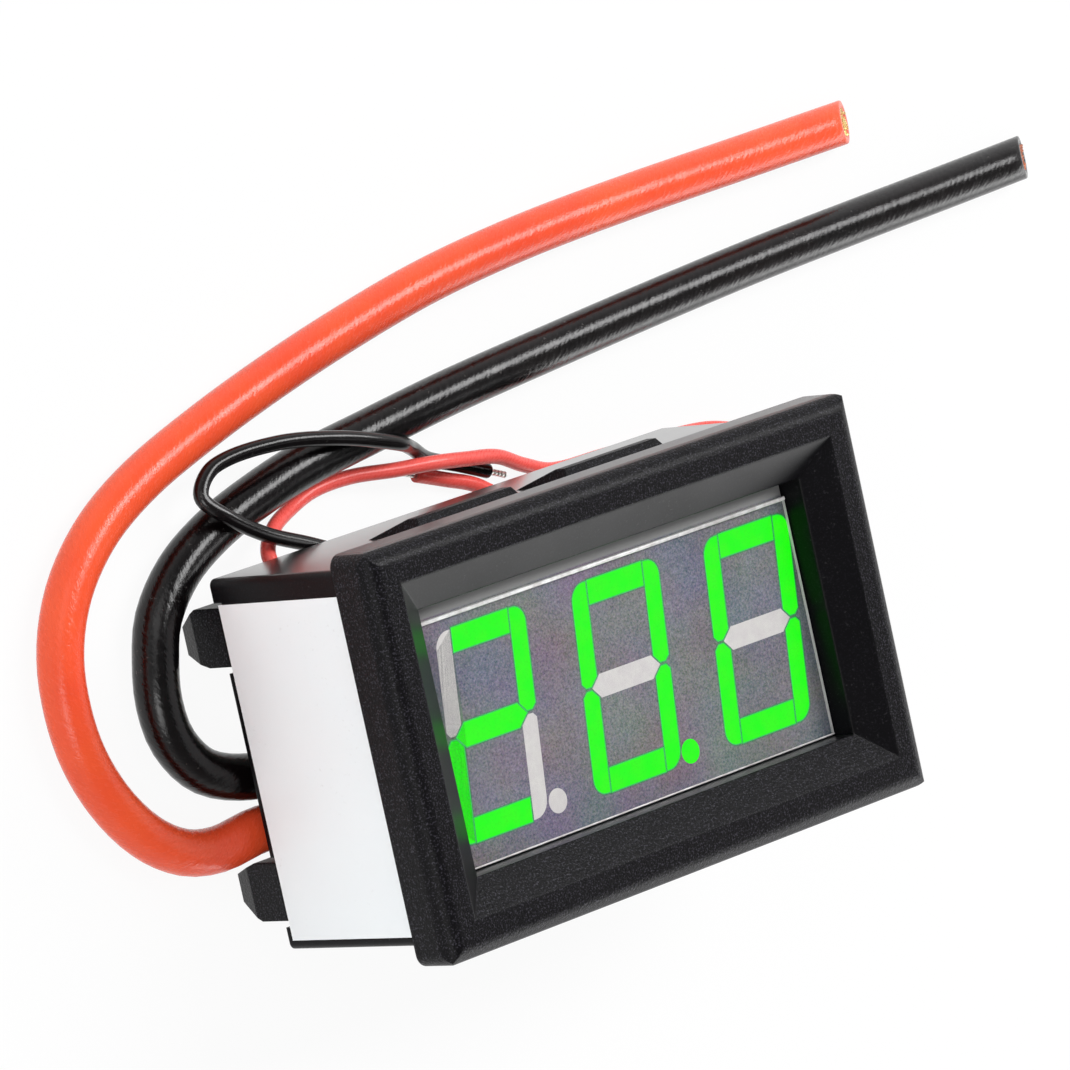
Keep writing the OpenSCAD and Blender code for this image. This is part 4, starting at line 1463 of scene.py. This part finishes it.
@dataclass
class DisplayModule:
    """The display: painted face, light pipes, fringes of light, film and pins.

    Attributes:
        fringe: Width of the dark rim round a lit segment.
        lift: Height of a digit's first rim over the face.
        stagger: How much higher each further rim lies, so that no two meet.
        glow: Strength of a rim's light at its inner edge.
        edge: Width of the film's painted highlight beads at its top, left, bottom and right.
        crown: Height of those beads, as a share of their width.
        digits: The digits, from the left.
        finishes: What each of its CAD nodes wears.
    """

    fringe: float = 0.2 * MM
    lift: float = 0.004 * MM
    stagger: float = 0.0006 * MM
    glow: float = 0.95
    edge: tuple[float, float, float, float] = (0.3 * MM, 0.13 * MM, 0.13 * MM, 0.06 * MM)
    crown: float = 0.35
    digits: tuple[Digit, ...] = (
        Digit(1, "abdeg", (-12.75 * MM, -0.25 * MM)),
        Digit(2, "abcdef", (0.5 * MM, -0.25 * MM)),
        Digit(3, "abcdef", (13.75 * MM, -0.25 * MM)),
    )
    finishes: dict[str, Finish] = field(
        default_factory=lambda: {
            "display_housing": PAINT,
            "display_base": BASE,
            "display_pins": TIN,
            "window_film": FILM,
            "point_lit": LIT,
            "point_unlit": UNLIT,
        }
    )

    def rims(self, corners: list[Vector]) -> list[Vector]:
        """Moves a convex outline outwards by the fringe's width.

        Args:
            corners: The outline, in order.

        Returns:
            The wider outline.
        """
        middle = sum(corners, Vector()) / len(corners)
        wide = []
        for i, corner in enumerate(corners):
            before, after = corners[i - 1], corners[(i + 1) % len(corners)]
            normals = []
            for a, b in ((before, corner), (corner, after)):
                way = b - a
                normal = Vector((way.y, -way.x, 0.0)).normalized()
                normals.append(normal if normal.dot(a - middle) > 0 else -normal)
            mean = (normals[0] + normals[1]).normalized()
            wide.append(corner + mean * self.fringe / max(0.5, mean.dot(normals[0])))
        return wide

    def build_fringe(self, digit: Digit) -> Piece:
        """Rings each lit segment of a digit with a thin rim.

        Args:
            digit: The digit.

        Returns:
            The rims, as one piece with a fade layer.
        """
        shape, fades, face = Shape(), [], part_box("display_housing")[1].z
        for n, segment in enumerate(digit.lit):
            z = face + self.lift + self.stagger * n
            corners = [digit.place(c, z) for c in digit.outline(segment)]
            inner, outer = shape.ring(corners), shape.ring(self.rims(corners))
            shape.skin(inner, outer)
            fades += [self.glow] * len(inner) + [0.0] * len(outer)
        piece = shape.build(f"digit_{digit.number}_fringe", smooth=False)
        layer = piece.data.attributes.new("fade", "FLOAT", "POINT")
        layer.data.foreach_set("value", fades)
        return piece

    def build_edge_highlights(self) -> Piece:
        """Runs a thin half-round pale bead along the film's four edges, as a painted highlight line.

        Returns:
            The beads, as one piece.
        """
        low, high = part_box("window_film")
        shape = Shape()
        arc = [math.pi * k / 6 for k in range(7)]
        corners = ((low.x, high.y), (high.x, high.y), (low.x, low.y), (high.x, low.y))
        runs = (
            (corners[0], corners[1], (0, -1), self.edge[0]),
            (corners[0], corners[2], (1, 0), self.edge[1]),
            (corners[2], corners[3], (0, 1), self.edge[2]),
            (corners[1], corners[3], (-1, 0), self.edge[3]),
        )
        for start, stop, (x, y), width in runs:
            bead = [(width / 2 * (1 - math.cos(a)), width * self.crown * math.sin(a)) for a in arc]
            ends = []
            for end in (start, stop):
                points = [Vector((end[0] + x * d, end[1] + y * d, high.z + h)) for d, h in bead]
                ends.append(shape.ring(points))
            shape.skin(ends[0], ends[1])
            shape.cap(ends[0])
            shape.cap(ends[1], flip=True)
        return shape.build("film_edge_highlight_bead")

    def dress(self, wardrobe: Wardrobe) -> None:
        """Dresses the module's CAD nodes and adds the fringes and the film's painted highlight beads.

        Args:
            wardrobe: Where the finishes come from.
        """
        wardrobe.nodes(self.finishes)
        for digit in self.digits:
            wardrobe.node(f"digit_{digit.number}_lit", LIT)
            wardrobe.node(f"digit_{digit.number}_unlit", UNLIT)
            wardrobe.piece(self.build_fringe(digit), FRINGE, Slot.LIT)
        # The film's edge beads: pale beads painted on as its highlight lines.
        wardrobe.piece(self.build_edge_highlights(), FILM_EDGE_HIGHLIGHT, Slot.FILM)
        LOG.info("display: %d digits", len(self.digits))


@dataclass
class Board:
    """The main board with its parts.

    Attributes:
        finishes: What each of its nodes wears.
    """

    finishes: dict[str, Finish] = field(
        default_factory=lambda: {
            "main_board": MASK,
            "pin_solder": SOLDER,
            "shunt": ALLOY,
            "shunt_solder": SOLDER,
            "lead_solder": SOLDER,
            "supply_solder": SOLDER,
            "controller_body": CHIP,
            "controller_legs": TIN,
            "regulator_body": CHIP,
            "regulator_legs": TIN,
            "diode_body": CHIP,
            "diode_terminals": TIN,
            "tantalum_body": TANTALUM,
            "tantalum_terminals": TIN,
            "resistor_bodies": RESISTOR,
            "resistor_terminals": TIN,
            "capacitor_bodies": CAPACITOR,
            "capacitor_terminals": TIN,
            "trimmer_body": TRIMMER,
            "trimmer_rotor": ROTOR,
        }
    )

    def dress(self, wardrobe: Wardrobe) -> None:
        """Dresses every node of the board."""
        wardrobe.nodes(self.finishes)
        LOG.info("board: %d nodes dressed", len(self.finishes))


# ---------------------------------------------------------------- studio


@dataclass
class Softbox:
    """One rectangular soft light.

    Attributes:
        name: Its name.
        way: Direction from the meter to the light.
        distance: How far off it stands.
        size: Width and height.
        power: Watts.
        along: Direction of its width.
    """

    name: str
    way: Point
    distance: float
    size: tuple[float, float]
    power: float
    along: Point = (1.0, 0.0, 0.0)

    def place(self) -> None:
        """Adds the light, turned towards the meter."""
        data = bpy.data.lights.new(self.name, "AREA")
        data.shape, data.size, data.size_y, data.energy = "RECTANGLE", *self.size, self.power
        lamp = bpy.data.objects.new(self.name, data)
        way = Vector(self.way).normalized()
        high = way.cross(Vector(self.along)).normalized()
        turned = Matrix((high.cross(way), high, way)).transposed().to_4x4()
        lamp.matrix_world = Matrix.Translation(way * self.distance) @ turned
        bpy.context.scene.collection.objects.link(lamp)


@dataclass
class Studio:
    """Camera, pale floor and plain soft light.

    Attributes:
        place: The camera's place.
        right: Its axis to the right.
        up: Its axis upwards.
        lens: Focal length on a sensor 36 mm wide.
        radius: Radius of the table.
        paper: How pale the table is.
        white: How much of the table shows as plain white.
        lights: The lamps.
    """

    place: Point = (-0.39944, 0.08642, 0.45265)
    right: Point = (0.7043, -0.21182, 0.67757)
    up: Point = (0.24153, 0.96901, 0.05186)
    lens: float = 287.44
    radius: float = 2.0
    paper: float = 0.82
    white: float = 0.93
    lights: tuple[Softbox, ...] = (
        Softbox(
            "key strip", way=(0.46, 0.36, 0.81), distance=0.75, size=(0.6, 0.22), power=4.9,
            along=(0.65, -0.08, -0.32),
        ),
        Softbox(
            "low strip", way=(0.74, -0.66, 0.17), distance=0.6, size=(0.7, 0.18), power=1.5,
            along=(0.7, 0.72, 0.0),
        ),
        Softbox(
            "front fill", way=(-0.5, 0.5, 0.7), distance=0.9, size=(0.5, 0.5), power=1.1,
        ),
        Softbox(
            "side fill", way=(-0.75, -0.14, 0.64), distance=0.75, size=(0.28, 0.28), power=1.25,
        ),
    )

    def set_camera(self) -> None:
        """Adds the camera and makes it the scene's own."""
        data = bpy.data.cameras.new("camera")
        data.sensor_width, data.lens, data.clip_end = 36.0, self.lens, 20.0
        camera = bpy.data.objects.new("camera", data)
        up = Vector(self.up).normalized()
        back = Vector(self.right).cross(up).normalized()
        right = up.cross(back)
        camera.matrix_world = Matrix.Translation(self.place) @ Matrix((right, up, back)).transposed().to_4x4()
        bpy.context.scene.collection.objects.link(camera)
        bpy.context.scene.camera = camera

    def white_seen(self, graph: Graph, share: float, mirrors: bool) -> Socket:
        """How much plain white a ray sees.

        Args:
            graph: Where the nodes go.
            share: The part of a seen ray that is plain white.
            mirrors: Whether rays off gloss and through glass see it too.

        Returns:
            The mixing value.
        """
        path = graph.add("LightPath").outputs
        seen = path["Is Camera Ray"]
        if mirrors:
            through = graph.maths("MAXIMUM", path["Is Glossy Ray"], path["Is Transmission Ray"])
            seen = graph.maths("MAXIMUM", seen, through)
        return graph.times(seen, share)

    def lay_floor(self) -> None:
        """Adds the pale table, which keeps the meter's shadow."""
        shape = Shape()
        turns = [math.pi * k / 24 for k in range(48)]
        shape.cap(shape.ring(Vector((math.cos(a), math.sin(a), 0.0)) * self.radius for a in turns))
        floor = shape.build("floor", smooth=False)
        material = bpy.data.materials.new("floor white")
        graph = Graph.of(material)
        paper = graph.add("BsdfDiffuse", {0: (self.paper, self.paper, self.paper, 1.0)}).outputs[0]
        white = graph.add("Emission", {0: (1.0, 1.0, 1.0, 1.0), 1: 1.0}).outputs[0]
        mixed = graph.add("MixShader", {0: self.white_seen(graph, self.white, True), 1: paper, 2: white})
        graph.add("OutputMaterial", {0: mixed.outputs[0]})
        floor.data.materials.append(material)

    def set_world(self) -> None:
        """Adds a sky that is bright at the horizon and dim overhead."""
        world = bpy.data.worlds.new("sky")
        graph = Graph.of(world)
        height = graph.axes(graph.add("TexCoord").outputs["Generated"])[2]
        tone = graph.between(height, 0.0, 0.8, 1.05, 0.2)
        sky = graph.add("CombineColor", {0: tone, 1: tone, 2: tone}).outputs[0]
        dim = graph.add("Background", {0: sky, 1: 1.0}).outputs[0]
        white = graph.add("Background", {0: (1.0, 1.0, 1.0, 1.0), 1: 1.0}).outputs[0]
        mixed = graph.add("MixShader", {0: self.white_seen(graph, 1.0, False), 1: dim, 2: white})
        graph.add("OutputWorld", {0: mixed.outputs[0]})
        bpy.context.scene.world = world

    def build(self) -> None:
        """Sets up the light, the floor and the plain view of colours."""
        self.lay_floor()
        self.set_world()
        for light in self.lights:
            light.place()
        bpy.context.scene.view_settings.view_transform = "Standard"
        LOG.info("studio: %d lights", len(self.lights))


def main() -> None:
    """Builds the studio's camera, the leads and then each sub-assembly."""
    logging.basicConfig(level=logging.INFO, format="%(name)s %(message)s")
    wardrobe = Wardrobe()
    studio = Studio()
    studio.set_camera()
    Leads().lay(wardrobe)
    Case().dress(wardrobe)
    DisplayModule().dress(wardrobe)
    Board().dress(wardrobe)
    studio.build()


if __name__ == "__main__":
    main()
